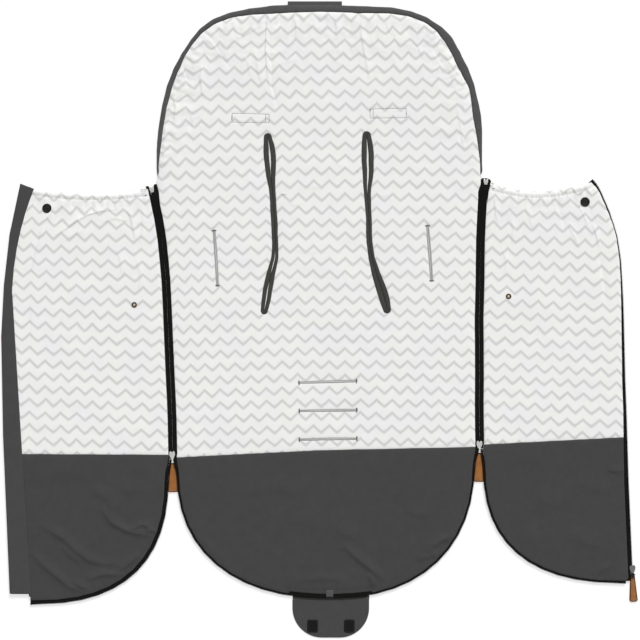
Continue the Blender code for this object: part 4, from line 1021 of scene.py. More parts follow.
def make_back_linings(shapes, finishes):
    """Both linings of the back, with the rear strap's ends that are sewn through them."""
    wadding = [at_rim(outer_outline("back_wadding")[0], 2)]
    wadding_edge = Line(wadding[0], True)

    def under(x, y):
        distance = wadding_edge.distance(x, y) * np.where(inside(x, y, wadding), 1, -1)
        height = LINING_BOTTOM - (LINING_BOTTOM - WADDING_BOTTOM) * step_up(distance, 0.3, 3.5)
        over_strap = (np.abs(x) < 138) & (np.abs(y - STRAP_LEVEL) < 10)
        return np.where(over_strap, np.maximum(height, 2.7), height)

    top = make_back_lining(shapes, under, finishes)
    make_back_foot(under, finishes)
    make_strap_ends(top, finishes)


def make_back_lining(shapes, under, finishes):
    """The zigzag lining with its wadding, between the given underside and the top that is returned."""
    holes = [outer[::-1] for outer, _, _ in shapes.values()]
    outline = at_rim(outer_outline("back_lining")[0], 2)
    at_head = outline[:, 1] > HEAD_START
    head = Line(stretch_of(outline, at_head))
    sides = Line(stretch_of(outline, ~at_head))
    hole_edges = [Line(outer, True) for outer, _, _ in shapes.values()]
    boxes = [Line(np.array(corners, float), True) for corners in BOX_STITCHES]

    def top(x, y):
        from_head, run, _ = head.nearest(x, y)
        from_side = sides.distance(x, y)
        from_hole = np.min([edge.distance(x, y) for edge in hole_edges], axis=0)
        height = LINING_TOP - roll(from_head, 6.5, 1.9) - roll(from_side, 2.2, 0.9) - roll(from_hole, 3.0, 0.35)
        nearest = np.minimum(np.minimum(from_head, from_side), from_hole)
        height += 0.5 * (1 - np.exp(-nearest / 26))
        gather = np.cos(2 * math.pi * run / 13.5 + 2.6 * lumps(run, from_head, 41, 5.0))
        strength = np.exp(-from_head / 15) * step_up(from_head, 0.5, 4.5)
        height += 0.6 * gather * strength * (0.65 + 0.6 * lumps(x, y, 70, 2.0))
        height += 0.32 * ridge(from_head, 3.4, 12) * (0.6 + lumps(x, y, 44, 6.0))
        height -= 0.18 * ridge(from_hole, 2.2, 5) * (0.5 + lumps(x, y, 16, 9.0))
        head_part = step_up(y, 330, 440) + step_up(np.abs(x), 150, 210) * step_up(y, 190, 300)
        height += 0.5 * lumps(x, y, 62) + 0.2 * lumps(x, y, 23, 4.0) + 0.08 * lumps(x, y, 10, 7.0)
        head_part = np.clip(head_part, 0, 1) * (1 + 0.7 * step_up(-x, 90, 180))
        height += (0.14 + 0.32 * head_part) * crumple(x, y, 30, 21.0) + 0.17 * head_part * crumple(x, y, 13, 23.0)
        for crease in HEAD_FOLDS:
            height += fold(x, y, *crease)
        for box in boxes:
            away = box.distance(x, y)
            height -= 0.28 * ridge(away, 1.5) - 0.1 * ridge(away, 1.9, 3.4)
        return height

    def finer(x, y):
        near_boxes = (np.abs(np.abs(x) - 107) < 36) & (np.abs(y - 316) < 16)
        return near_boxes | (y > 395) | ((np.abs(x) > 175) & (y > 300))

    lining = cloth(
        "back_zigzag_lining", [outline] + holes, top, under, finishes["zigzag"], "back", 3.8, (0.5, 1.4, 3.0, 5.2),
        finer, fold_rows(HEAD_FOLDS), printed=head_print,
    )
    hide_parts("back_lining", "back_wadding")
    return top


def make_back_foot(under, finishes):
    """The dark lining at the foot, and the two rows that sew the toe flap on."""
    outline = outer_outline("back_foot_lining")
    x, y = outline[0].T
    low = (np.abs(x - TOE_MIDDLE) < 64) & (y < -300)
    y[low] = np.maximum(y[low], toe_line(x[low]))
    edge = Line(outline[0], True)
    flap_seam = Line(np.array([(-54, -414.4), (15, -413.2), (85, -414.6)], float))
    flap_seams = [flap_seam.path, flap_seam.path + np.array([0, -3.2])]

    def top(x, y):
        from_edge, run, _ = edge.nearest(x, y)
        height = LINING_TOP - roll(from_edge, 2.2, 0.9) + 0.45 * (1 - np.exp(-from_edge / 24))
        height += 0.5 * lumps(x, y, 70, 1.0) + 0.2 * lumps(x, y, 24, 2.0) + 0.1 * crumple(x, y, 34, 31.0)
        gather = np.cos(2 * math.pi * run / 15 + 3 * lumps(run, from_edge, 60, 5.0))
        height += 0.16 * gather * np.exp(-from_edge / 12) * step_up(from_edge, 1, 5)
        off_seam = flap_seam.distance(x, y + 1.6)
        height += 0.55 * ridge(off_seam, 1.1) - 0.5 * ridge(off_seam, 1.2, 2.6)
        for crease in FOOT_FOLDS:
            height += fold(x, y, *crease, FOOT_FAR_SIDE)
        return height

    foot = cloth("back_foot_lining_cloth", outline, top, under, finishes["foot cloth"], "back", 4.0,
                 (0.5, 1.4, 3.0), extra=fold_rows(FOOT_FOLDS))
    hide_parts("back_foot_lining")

    seam = stitched("flap_seam_stitches", flap_seams, lambda x, y: top(x, y) + 0.12, finishes["dark thread"], "back")


def make_strap_ends(top, finishes):
    """The stitches that hold the rear strap, seen on the lining."""
    corners = [np.array(list(box) + [box[0]], float) for box in BOX_STITCHES]
    inner = [np.array([(-84.2, 306.2), (-84.4, 319)], float), np.array([(82.6, 313.4), (82.4, 327)], float)]
    boxes_sewn = stitched("strap_box_stitches", corners + inner, lambda x, y: top(x, y) + 0.1, finishes["pale thread"],
                          "back", pitch=2.6, length=2.2, radius=0.42, sink=0.3)
    for name, place in (("left", (-136.3, 313.4)), ("right", (133.7, 320.6))):
        end = bar_tack(f"strap_end_bar_{name}", np.array(place), 3.6, np.array([0.05, 1.0]), finishes["bar tack"])
        end.data.transform(Matrix.Translation((0, 0, -0.35 * MM)))


def make_back_shell(shapes, finishes):
    loops = node_loops("back_shell", up=False)
    outline = at_rim(smoothed(loops[0], 2.2), 1)
    strap = next(loop for loop in loops[1:] if abs(loop[:, 1].mean() - STRAP_LEVEL) < 5 and np.ptp(loop[:, 0]) > 200)
    holes = [outer[::-1] for outer, _, _ in shapes.values()] + [smoothed(strap, 3.0)]
    edge = Line(outline, True)
    lining = at_rim(outer_outline("back_lining")[0], 2)
    lining_edge = Line(lining, True)
    rim_rows = []
    for offset in (-1.4, -0.5, 0.3, 0.9, 1.7, 2.8, 4.2):
        row = lining - left_normals(lining, True) * offset
        rim_rows.append(row[row[:, 1] > HEAD_START])

    def top(x, y):
        from_edge, run, _ = edge.nearest(x, y)
        outside = lining_edge.distance(x, y) * np.where(inside(x, y, [lining]), -1, 1)
        at_head = step_up(y, 196, 206)
        zip_side = SHELL_TOP + (ALLOWANCE_TOP - SHELL_TOP) * (1 - step_up(from_edge, 9, 11))
        ledge = SHELL_TOP + (ALLOWANCE_TOP - SHELL_TOP) * step_up(outside, -4.4, -2.2)
        rise = 2.35 * np.sqrt(1 - (1 - np.clip(outside / 2.8, 0, 1)) ** 2)
        crinkle = 0.16 * np.sin(run / 2.3 + 3 * lumps(run, from_edge, 30, 3.0)) + 0.12 * lumps(x, y, 14, 5.0)
        height = zip_side * (1 - at_head) + at_head * (np.maximum(ledge, np.where(outside > 0, 3.0, 0)) + rise)
        height += np.where(outside > 0.5, at_head * crinkle, 0)
        tongue = step_up(-y, 421, 427)
        height = height * (1 - tongue) + np.minimum(height, 1.55) * tongue
        return height - roll(from_edge, 1.4 + 1.6 * at_head, 0.7 + 1.9 * at_head)

    def under(x, y):
        from_edge = edge.distance(x, y)
        at_head = step_up(y, 196, 206)
        sag = 0.1 + 0.1 * lumps(x, y, 30, 6.0)
        return sag * step_up(from_edge, 2, 12) + roll(from_edge, 1.0 + 2.0 * at_head, 0.35 + 1.7 * at_head)

    shell = cloth("back_outer_shell", [outline] + holes, top, under, finishes["shell"], "back", 6.0,
                  (0.5, 1.2, 2.4, 4.0), extra=rim_rows)
    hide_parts("back_shell")
    laid([outline] + holes)


def make_back_trim(finishes):
    """The tab at the head, the rear strap and the grey strip over the toe's seam."""
    tab = outer_outline("top_tab")
    edge = Line(tab[0], True)
    tab_cloth = cloth(
        "top_tab_cloth", tab, lambda x, y: rolled(edge, 3.75, 0.8, 0.6)(x, y) + 0.12 * lumps(x, y, 9),
        rolled(edge, 1.7, 0.8, -0.5), finishes["shell"], "back", 2.4, (0.4, 0.9),
    )
    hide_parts("top_tab")
    laid(tab)

    strap = outer_outline("rear_strap")
    edge = Line(strap[0], True)
    middle = Line(np.array([(-135, STRAP_LEVEL), (135, STRAP_LEVEL)], float))
    webbing = cloth("rear_strap_webbing", strap, rolled(edge, 1.2, 0.6, 0.35), rolled(edge, 0, 0.6, -0.3),
                    finishes["elastic"], "back", 2.4, (0.4, 0.9), run=middle)
    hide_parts("rear_strap")
    laid(strap)

    end = outer_outline("zip_end_cover")
    end_edge = Line(end[0], True)

    def drop(y):
        return 3.0 * step_up(-y, 427.2, 431.2)

    end_cloth = cloth(
        "zip_end_strip", end,
        lambda x, y: 6.6 - drop(y) - roll(end_edge.distance(x, y), 0.9, 0.4) + 0.1 * lumps(x, y, 5),
        lambda x, y: np.minimum(5.75, 6.0 - drop(y) * 1.15), finishes["binding plain"], "back", 1.2, (0.35, 0.8),
        run=Line(np.array([(15, -415), (15, -434)], float)),
    )
    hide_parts("zip_end_cover")


# Modelling by hand


@contextlib.contextmanager
def shaping():
    """Edit mode, for as long as the lines under it take."""
    bpy.ops.object.mode_set(mode="EDIT")
    yield
    bpy.ops.object.mode_set(mode="OBJECT")


def block(width, length, bottom, top, middle=(0, 0)):
    """A block to start from, with its place in its mesh."""
    bpy.ops.object.select_all(action="DESELECT")
    bpy.ops.mesh.primitive_cube_add(size=1)
    with shaping():
        bpy.ops.mesh.select_all(action="SELECT")
        bpy.ops.transform.resize(value=(width, length, top - bottom))
        bpy.ops.transform.translate(value=(*middle, (bottom + top) / 2))
    return bpy.context.object


def disc(radius, bottom, top, sides=40):
    bpy.ops.object.select_all(action="DESELECT")
    bpy.ops.mesh.primitive_cylinder_add(vertices=sides, radius=radius, depth=top - bottom)
    with shaping():
        bpy.ops.mesh.select_all(action="SELECT")
        bpy.ops.transform.translate(value=(0, 0, (bottom + top) / 2))
    return bpy.context.object


def select(test, kind):
    """Selects, in edit mode, just the parts of the mesh that pass a test of their place or normal."""
    bpy.ops.mesh.select_mode(type=kind)
    bpy.ops.mesh.select_all(action="DESELECT")
    shape = bmesh.from_edit_mesh(bpy.context.object.data)
    for part in {"VERT": shape.verts, "EDGE": shape.edges, "FACE": shape.faces}[kind]:
        part.select = test(part)
    shape.select_flush_mode()
    bmesh.update_edit_mesh(bpy.context.object.data)


def edge_length(edge, axis):
    return abs(edge.verts[0].co[axis] - edge.verts[1].co[axis])


# Zips


def middle_line(name):
    """The middle of a strip, from the head down, from the matching corners of its two edges."""
    loop = node_loops(name)[0]
    count = len(loop) // 2
    best, start = None, 0
    for i in range(len(loop)):
        a, b = loop[i], loop[(i + 1) % len(loop)]
        if math.dist(a, b) < 4 and (best is None or a[1] + b[1] > best):
            best, start = a[1] + b[1], i + 1
    turned = np.roll(loop, -start, axis=0)
    return (turned[:count] + turned[::-1][:count]) / 2


def tooth_shape():
    """One turn of a nylon coil: a flat loop across the tape, rounded all round."""
    tooth = block(3.3, 0.6, -0.75, 0.75)
    with shaping():
        select(lambda edge: edge_length(edge, 1) > 0.3, "EDGE")
        bpy.ops.mesh.bevel(offset=0.55, segments=2)
        select(lambda face: abs(face.normal.y) > 0.9, "FACE")
        bpy.ops.mesh.inset(thickness=0.16, depth=0.0)
        bpy.ops.transform.resize(value=(1, 0.72, 1))
    vertices = [tuple(v.co) for v in tooth.data.vertices]
    faces = [list(face.vertices) for face in tooth.data.polygons]
    bpy.data.objects.remove(tooth)
    return vertices, faces


def make_coil(node, tooth, chain_side, late, body, finishes, further):
    """The teeth of one half of a zip along a node's middle, reaching over its chain on the given side."""
    path = smoothed(middle_line(node), 1.0, closed=False)
    if body == "back" and node.endswith("right"):
        path = raised(path)
    if further > 0:
        path = np.vstack([path, onward(path, further)])
    elif further:
        path = path[np.linalg.norm(path - path[-1], axis=1) > -further]
    places = evenly(path, COIL_PITCH / 2)
    normals = left_normals(places)
    vertices, faces = tooth
    transforms = []
    for place, normal in zip(places[late::2], normals[late::2]):
        middle = place + normal * chain_side * 0.8
        transforms.append((along_turn((normal[1], -normal[0])), (*middle, COIL_MIDDLE)))
    teeth = repeated(f"{node}_teeth", vertices, faces, transforms, finishes["coil"], body, 45)
    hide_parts(node)
    core = ((-1.5, 3.45), (1.6, 3.45), (1.6, 3.95), (-1.5, 3.95))
    section = [(wide * chain_side * -1, high) for wide, high in core]
    cord = swept(f"{node}_core", evenly(path, 3.0), lambda index: section, finishes["coil"], body)
    return path


def tape_outline(node, line, toe, further):
    """A tape's outline, cut back or drawn on at its toe, and spread at the top of a side zip."""
    loop = smoothed(node_loops(node)[0], 1.8)
    x, y = loop.T
    if node == "cover_right_side_tape":
        y[:] = np.minimum(y, 205)
    if further < 0:
        y[:] = np.maximum(y, toe[1] + 1)
    elif further:
        way = (line.path[-1] - line.path[-10]) / math.dist(line.path[-1], line.path[-10])
        at_end = (np.linalg.norm(loop - toe, axis=1) < 9) & ((loop - toe) @ way > -1.2)
        loop[at_end] += way * further
    if node.startswith("side_zip"):
        ear, highest = (-3.6, 207.3) if "cover" in node else (1.2, 209.5)
        if node.endswith("left"):
            from_teeth = np.clip((line.distance(x, y) - 1) / 5, 0, 1)
            splay = np.interp(y, (193, 207), (0, 1)) * (0.45 + 0.55 * from_teeth)
            x += ear * splay
        y[:] = np.minimum(y, highest)
        if node.endswith("right"):
            loop = raised(loop)
            loop[:, 1] = np.minimum(loop[:, 1], np.interp(loop[:, 0], (261, 265), (219, 204)))
    return loop


def make_tape(node, line, body, finishes, toe, further):
    """The tape of one half of a zip: its ribs follow the line of the teeth."""
    loops = [tape_outline(node, line, toe, further)]
    edge = Line(loops[0], True)
    tape = cloth(f"{node}_cloth", loops, rolled(edge, TAPE_TOP, 0.5, 0.25), rolled(edge, TAPE_BOTTOM, 0.5, -0.2),
                 finishes["tape"], body, 2.6, (0.45,), run=line)
    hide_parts(node)


# How much further than in the CAD these coils and their tapes run at the toe, or how much less far
FURTHER = {"cover_left_side_coil": 13.5, "cover_right_side_coil": 9.5, "cover_left_centre_coil": -15}


def make_zips(finishes):
    """Both halves of each side zip, down to the toe, and both halves of the centre zip."""
    tooth = tooth_shape()
    for side, sign in (("left", -1), ("right", 1)):
        cover = f"cover_{side}"
        runs = (
            (f"side_zip_coil_{side}", f"side_zip_tape_{side}", sign, 0, "back"),
            (f"side_zip_cover_coil_{side}", f"side_zip_cover_tape_{side}", -sign, 1, "back"),
            (f"{cover}_side_coil", f"{cover}_side_tape", -sign, 1, cover),
            (f"{cover}_centre_coil", f"{cover}_centre_tape", sign, 0, cover),
        )
        for coil, tape, chain_side, late, body in runs:
            further = FURTHER.get(coil, 0)
            toe = middle_line(coil)[-1]
            path = make_coil(coil, tooth, chain_side, late, body, finishes, further)
            start, end = onward(path, 14, from_start=True), onward(path, 14)
            if tape.endswith("side_tape"):
                start = path[0] + CLOSED_RUN * np.array([CLOSED_LEAN * sign, 1])
            line = Line(np.vstack([start, path, end]))
            make_tape(tape, line, body, finishes, toe, further)


# Covers


class Cover(typing.NamedTuple):
    """One cover: its hem's ends and sag, how the print lies on it, its creases and the seed of its noise."""

    name: str
    start: tuple
    end: tuple
    sag: float
    print_place: tuple
    print_lean: tuple
    seed: float
    folds: tuple
    foot_folds: tuple

    def hem(self):
        shares = np.linspace(0, 1, 200)[:, None]
        path = np.array(self.start) * (1 - shares) + np.array(self.end) * shares
        path[:, 1] -= (4 * shares * (1 - shares) * self.sag)[:, 0]
        return path

    def print_at(self, x, y):
        """Where a place lies on the printed cloth: the rows tilt a little, and the hem draws them together."""
        tilt, lean = self.print_lean
        drawn = 1 + 0.05 * step_up(y, -140, 200)
        from_x, from_y = self.print_place
        along = (y - from_y) - tilt * (x - from_x)
        across = ((x - from_x) - lean * (y - from_y)) * drawn
        near_hem = step_up(y, 110, 200)
        along = along + (1.2 + 1.6 * near_hem) * lumps(x, y, 40, 12.0 + from_x) + 0.8 * lumps(x, y, 15, 4.0 + from_x)
        across = across + 0.9 * lumps(x, y, 17, 7.0 + from_x)
        return across + (1.2 + 2.2 * near_hem) * lumps(x, y, 36, 2.0 + from_x), along


LEFT_COVER = Cover(
    "left", (-264.8, 203.0), (-444.0, 203.5), 7.5, (-376.7, 43.0), (-0.045, 0.0), 3.0,
    (
        (((-416, 127), (-396, 140), (-378, 153), (-360, 163), (-340, 169), (-318, 171)), 2.2, 0.95),
        (((-427, 158), (-434, 126), (-440, 104), (-447, 74)), 2, 1.5),
        (((-301, 174), (-295, 156), (-291, 126)), 2.4, 1.2),
        (((-398, 176), (-404, 160), (-411, 148)), 2, -1),
        (((-340, 152), (-320, 157), (-300, 154)), 3, 0.45),
        (((-398, 120), (-382, 132), (-366, 140)), 3, 0.45),
        (((-276, 178), (-278, 150), (-284, 120)), 2.6, 0.85),
        (((-412, 178), (-418, 164), (-428, 150)), 2.2, 1),
        (((-386, 182), (-380, 170), (-370, 162)), 2.2, -0.3),
        (((-352, 186), (-348, 176), (-340, 168)), 2, 0.4),
        (((-318, 110), (-312, 92), (-310, 72)), 3, 0.68),
        (((-440, 60), (-446, 20), (-446, -30)), 4, 0.59),
        (((-290, 96), (-284, 70), (-286, 44)), 3, 0.68),
    ),
    (
        (((-434, -315), (-413, -329), (-397, -338), (-378, -356), (-358, -371), (-336, -377), (-312, -379)), 4.6, 2.6),
        (((-448, -360), (-428, -380), (-411, -394), (-388, -413), (-368, -420)), 4.1, 2.3),
        (((-340, -290), (-322, -314), (-302, -325), (-284, -330), (-260, -334)), 3.8, 2.5),
        (((-292, -324), (-276, -317), (-262, -321)), 2.9, 1.9),
        (((-270, -328), (-262, -326), (-254, -328)), 2.6, 1.4),
        (((-310, -388), (-296, -377), (-280, -363)), 3.2, 2.3),
        (((-362, -402), (-336, -394), (-304, -394)), 3.5, 1.9),
        (((-352, -262), (-330, -276), (-318, -296)), 5.8, 1.4),
        (((-420, -230), (-400, -236), (-374, -232)), 8.7, 0.78),
        (((-384, -402), (-374, -410), (-362, -416)), 3.2, 1.7),
        (((-400, -350), (-384, -366), (-370, -376)), 4.3, 1.6),
        (((-318, -250), (-300, -262), (-280, -266)), 5.8, 0.93),
    ),
)
RIGHT_COVER = Cover(
    "right", (258.8, 213.4), (416.0, 213.5), 14.0, (339.4, 97.6), (-0.055, 0.022), 17.0,
    (
        (((318, 178), (324, 160), (330, 142)), 2.4, 0.6),
        (((366, 180), (374, 160), (378, 138)), 2.4, -0.6),
        (((384, 152), (394, 128), (402, 112)), 2.6, 0.6),
        (((270, 192), (272, 168), (276, 150)), 2.4, 0.94),
        (((430, 100), (436, 60), (438, 20)), 3, -0.85),
        (((296, 160), (300, 140), (298, 120)), 2.6, 0.77),
        (((400, 178), (410, 160), (416, 146)), 2, 0.55),
        (((344, 190), (348, 176), (344, 162)), 2.2, 0.85),
        (((424, 150), (430, 130), (432, 112)), 2.4, 0.94),
        (((284, 110), (290, 92), (288, 70)), 3, 0.68),
    ),
    (
        (((444, -231), (460, -234), (473, -232)), 3.8, 1.6),
        (((380, -330), (410, -345), (446, -350)), 7.2, 1.1),
        (((422, -398), (436, -388), (448, -378)), 3.8, 1.6),
        (((330, -262), (352, -280), (380, -286)), 8.7, 0.93),
        (((300, -300), (318, -330), (342, -354)), 8.7, 0.93),
        (((396, -250), (420, -262), (446, -260)), 7.2, 0.93),
        (((400, -404), (420, -408), (440, -402)), 3.8, 1.1),
    ),
)


def rounded_corner(loop, radius):
    """A loop with its lower right corner rounded off."""
    corner = np.array([loop[:, 0].max(), loop[:, 1].min()])
    loop = evenly(loop, 1.0, True)
    middle = corner + np.array([-radius, radius])
    from_middle = loop - middle
    away = np.linalg.norm(from_middle, axis=1)
    out = (from_middle[:, 0] > 0) & (from_middle[:, 1] < 0) & (away > radius)
    loop[out] = middle + from_middle[out] / away[out][:, None] * radius
    return loop


def cover_outlines(name):
    """The outlines of a cover's lining and foot lining, moved at the zips to where the cloth ends there."""
    loops = [outer_outline(f"cover_{name}_lining")[0], outer_outline(f"cover_{name}_foot_lining")[0]]
    centre_zip = Line(middle_line(f"cover_{name}_centre_coil"))
    for x, y in (loop.T for loop in loops):
        from_zip = centre_zip.distance(x, y)
        if name == "left":
            x[from_zip < 8] -= 2.2
        else:
            levels, _, reach = zip(*RIGHT_EDGE)
            close = (from_zip < 9) & (x > 400)
            x[close] += np.interp(y[close], levels, reach, left=0)
            at_side = x < 266
            x[at_side] += np.interp(y[at_side], (178, 198, 209), (0, 2.2, 4.8))
    if name == "right":
        loops[1] = rounded_corner(loops[1], 7)
    return [[loop] for loop in loops]


def make_cover(cover, finishes):
    """One cover, from its lining down to the patch of loop tape on its outer side."""
    hem = Line(cover.hem())
    outline, foot_outline = cover_outlines(cover.name)
    make_cover_lining(cover, hem, outline, finishes)
    make_cover_foot(cover, foot_outline, finishes)
    make_cover_shell(cover, hem, finishes)
    make_loop_patch(cover, finishes)


def make_cover_lining(cover, hem, outline, finishes):
    """The zigzag lining, gathered along its hem, and the hem's seam."""
    name, seed = cover.name, cover.seed
    body = f"cover_{name}"
    sides = Line(stretch_of(outline[0], hem.distance(*outline[0].T) > 2.5))

    def gathers(run, distance):
        wander = 3.4 * lumps(run, distance * 0.4, 33, seed)
        wide = np.cos(2 * math.pi * run / 10.5 + wander)
        narrow = np.cos(2 * math.pi * run / 5.7 + 1.7 * wander + 1.0)
        return wide, narrow

    def top(x, y):
        distance, run, _ = hem.nearest(x, y)
        side_distance = sides.distance(x, y)
        height = LINING_TOP - roll(distance, 3.0, 2.0) - roll(side_distance, 2.2, 0.85)
        height += 0.35 * (1 - np.exp(-np.minimum(distance, side_distance) / 22))
        wide, narrow = gathers(run, distance)
        grip = (1 - step_up(distance, 8, 34)) * step_up(distance, 0.6, 3)
        height += 0.34 * wide * grip + 0.3 * narrow * ridge(distance, 5.5, 6.5)
        height += 0.5 * ridge(distance, 3.0, 4.8) - 0.75 * ridge(distance, 1.2, HEM_SEAM)
        height += 0.42 * lumps(x, y, 50, seed) + 0.2 * lumps(x, y, 19, seed + 4)
        upper = 1 - step_up(distance, 20, 110)
        height += (0.1 + 0.22 * upper) * crumple(x, y, 27, seed + 9) + 0.12 * upper * crumple(x, y, 12, seed + 11)
        for crease in cover.folds:
            height += fold(x, y, *crease)
        return height

    def under(x, y):
        return LINING_BOTTOM - 1.2 * (1 - step_up(hem.distance(x, y), 0, 3.2))

    def move(x, y):
        distance, run, _ = hem.nearest(x, y)
        wide, narrow = gathers(run, distance)
        pull = (0.25 * wide + 0.15 * narrow) * np.exp(-distance / 5)
        return np.column_stack([np.zeros(len(x)), pull * (sides.distance(x, y) > 2)])

    def near_hem(x, y):
        return hem.distance(x, y) < 26

    lining = cloth(f"cover_{name}_zigzag_lining", outline, top, under, finishes["zigzag"], body, 4.0, (0.5, 1.4, 2.8),
                   near_hem, fold_rows(cover.folds), move, cover.print_at)
    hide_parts(f"cover_{name}_lining", f"cover_{name}_hem_elastic")
    laid(outline)

    hem_run = hem.path + left_normals(hem.path) * (HEM_SEAM if name == "left" else -HEM_SEAM)
    keep = inside(*hem_run.T, outline) & (sides.distance(*hem_run.T) > 3)
    hem_seam = stitched(f"cover_{name}_hem_stitches", [hem_run[keep]], lambda x, y: top(x, y) + 0.12,
                        finishes["grey thread"], body, pitch=3.0, length=2.1, radius=0.25)


def make_cover_foot(cover, outline, finishes):
    name, seed = cover.name, cover.seed
    edge = Line(outline[0], True)

    def top(x, y):
        distance, run, _ = edge.nearest(x, y)
        height = LINING_TOP - roll(distance, 2.2, 0.85) + 0.35 * (1 - np.exp(-distance / 22))
        height += 0.5 * lumps(x, y, 60, seed + 1) + 0.2 * lumps(x, y, 22, seed + 2) + 0.1 * crumple(x, y, 30, seed + 5)
        gather = np.cos(2 * math.pi * run / 14 + 3 * lumps(run, distance, 50, seed))
        height += 0.15 * gather * np.exp(-distance / 11) * step_up(distance, 1, 5)
        for crease in cover.foot_folds:
            height += fold(x, y, *crease, FOOT_FAR_SIDE)
        return height

    foot = cloth(f"cover_{name}_foot_cloth", outline, top, level(LINING_BOTTOM), finishes["foot cloth"],
                 f"cover_{name}", 4.0, (0.5, 1.4, 2.8), extra=fold_rows(cover.foot_folds))
    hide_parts(f"cover_{name}_foot_lining")
    laid(outline)


def make_cover_shell(cover, hem, finishes):
    """The outer shell with its seam allowance round the edge, and the interlining's raised middle."""
    name = cover.name
    loops = [smoothed(loop, 1.4 if rank else 2.2) for rank, loop in enumerate(node_loops(f"cover_{name}_shell", False))]
    if name == "right":
        low = (loops[0][:, 0] < 278) & (loops[0][:, 1] > 195)
        under_hem = np.interp(loops[0][low, 0], hem.path[:, 0], hem.path[:, 1]) - 3
        loops[0][low, 1] = np.minimum(loops[0][low, 1], under_hem)
    edge = Line(loops[0], True)

    def top(x, y):
        distance = edge.distance(x, y)
        inner = step_up(distance, 10.2, 12)
        return ALLOWANCE_TOP + (INTERLINING_TOP - ALLOWANCE_TOP) * inner - roll(distance, 1.2, 0.9)

    def under(x, y):
        distance = edge.distance(x, y)
        wave = 0.12 + 0.12 * lumps(x, y, 34, cover.seed)
        return wave * step_up(distance, 2, 12) + roll(distance, 1.2, 0.6)

    shell = cloth(f"cover_{name}_outer_shell", loops, top, under, finishes["shell"], f"cover_{name}", 6.5,
                  (0.5, 1.2, 2.6))
    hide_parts(f"cover_{name}_shell")
    laid(loops)


def make_loop_patch(cover, finishes):
    name = cover.name
    pad = outer_outline(f"cover_{name}_loop_pad")
    edge = Line(pad[0], True)
    loop_pad = cloth(f"cover_{name}_loop_patch", pad, rolled(edge, 1.0, 0.6, 0.3), rolled(edge, 0, 0.9, -0.35),
                     finishes["loops"], f"cover_{name}", 2.0, (0.4, 0.9))
    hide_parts(f"cover_{name}_loop_pad")
    laid(pad)


def make_zip_guard(finishes):
    """The flap of cloth over the left half of the centre zip, with a seam along its edge."""
    outline = [smoothed(node_loops("zip_guard")[0], 2.2)]
    outline[0][:, 1] = np.maximum(outline[0][:, 1], -424.6)
    edge = Line(outline[0], True)

    def top(x, y):
        distance = edge.distance(x, y)
        height = GUARD_BOTTOM + 0.75 - roll(distance, 3.0, 0.62) + 0.12 * lumps(x, y, 26, 4.0)
        return height - 0.16 * ridge(distance, 0.8, 3.2)

    guard = cloth("zip_guard_cloth", outline, top, level(GUARD_BOTTOM + 0.02), finishes["guard cloth"], "zip_guard",
                  3.6, (0.5, 1.2, 2.2, 3.2, 4.2))
    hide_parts("zip_guard")
    laid(outline)


def make_toe_band(finishes):
    """The black band under the end of the foot lining, where the flap and both zips' ends are sewn in."""
    across = np.linspace(-41, 73, 60)
    lower = np.column_stack([across, -431.4 + 0.0009 * (across - TOE_MIDDLE) ** 2])
    upper = np.column_stack([across[::-1], toe_line(across[::-1]) + 3])
    outline = [np.vstack([lower, upper])]
    band = cloth("toe_band", outline, rolled(Line(outline[0], True), 4.5, 0.6, 0.25), level(3.6), finishes["tape"],
                 "back", 2.6, (0.45,), run=Line(lower))


def make_toe_flap(finishes):
    """The flap at the toe, stitched round its edge, and both patches of hook tape on it."""
    left, right, seam_level, end_level, radius = -42.8, 76.2, -433.5, -492.8, 46
    turn = np.linspace(0, math.pi / 2, 24)[:, None]
    down = end_level + radius - radius * np.sin(turn)
    round_left = np.hstack([left + radius - radius * np.cos(turn), down])
    round_right = np.hstack([right - radius + radius * np.cos(turn), down])[::-1]
    outline = [evenly(np.vstack([[(left, seam_level)], round_left, round_right, [(right, seam_level)]]), 1.6, True)]
    edge = Line(outline[0], True)

    def top(x, y):
        distance = edge.distance(x, y)
        height = 1.62 - roll(distance, 1.0, 0.7) + 0.1 * lumps(x, y, 20, 3.0)
        return height - 0.22 * ridge(distance, 0.8, 3.6)

    flap = cloth("toe_flap_cloth", outline, top, rolled(edge, 0, 1.0, -0.5), finishes["guard cloth"], "toe_flap", 2.6,
                 (0.5, 1.2, 2.2, 3.0, 3.6, 4.4))
    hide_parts("toe_flap")
    laid(outline)
    inset = outline[0] + left_normals(outline[0], True) * 3.6
    seam = inset[(edge.distance(*inset.T) > 3.3) & (inset[:, 1] < -440)]
    widest_gap = int(np.argmax(np.linalg.norm(np.diff(np.vstack([seam, seam[:1]]), axis=0), axis=1)))
    seam = np.roll(seam, -widest_gap - 1, axis=0)
    stitches = stitched("toe_flap_stitches", [seam], lambda x, y: top(x, y) + 0.1, finishes["dark thread"], "toe_flap",
                        pitch=3.0, length=2.2, radius=0.2)
    for side in ("left", "right"):
        pad = outer_outline(f"hook_pad_{side}", 1.2)
        hooks = cloth(f"hook_patch_{side}", pad, rolled(Line(pad[0], True), 2.9, 0.7, 0.5), level(1.8),
                      finishes["hooks"], "toe_flap", 1.6, (0.4, 0.9, 1.5))
        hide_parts(f"hook_pad_{side}")
        laid(pad)
        ring = pad[0] + left_normals(pad[0], True) * 1.3
        sewn = stitched(f"hook_patch_{side}_stitches", [np.vstack([ring, ring[:1]])], level(2.95),
                        finishes["dark thread"], "toe_flap", pitch=2.4, length=1.8, radius=0.16, sink=0.2)


# Metal, leather and moulded parts, modelled in millimetres round their own middle


def joined(pieces):
    bpy.ops.object.select_all(action="DESELECT")
    for piece in pieces:
        piece.select_set(True)
    bpy.context.view_layer.objects.active = pieces[0]
    bpy.ops.object.join()
    return pieces[0]


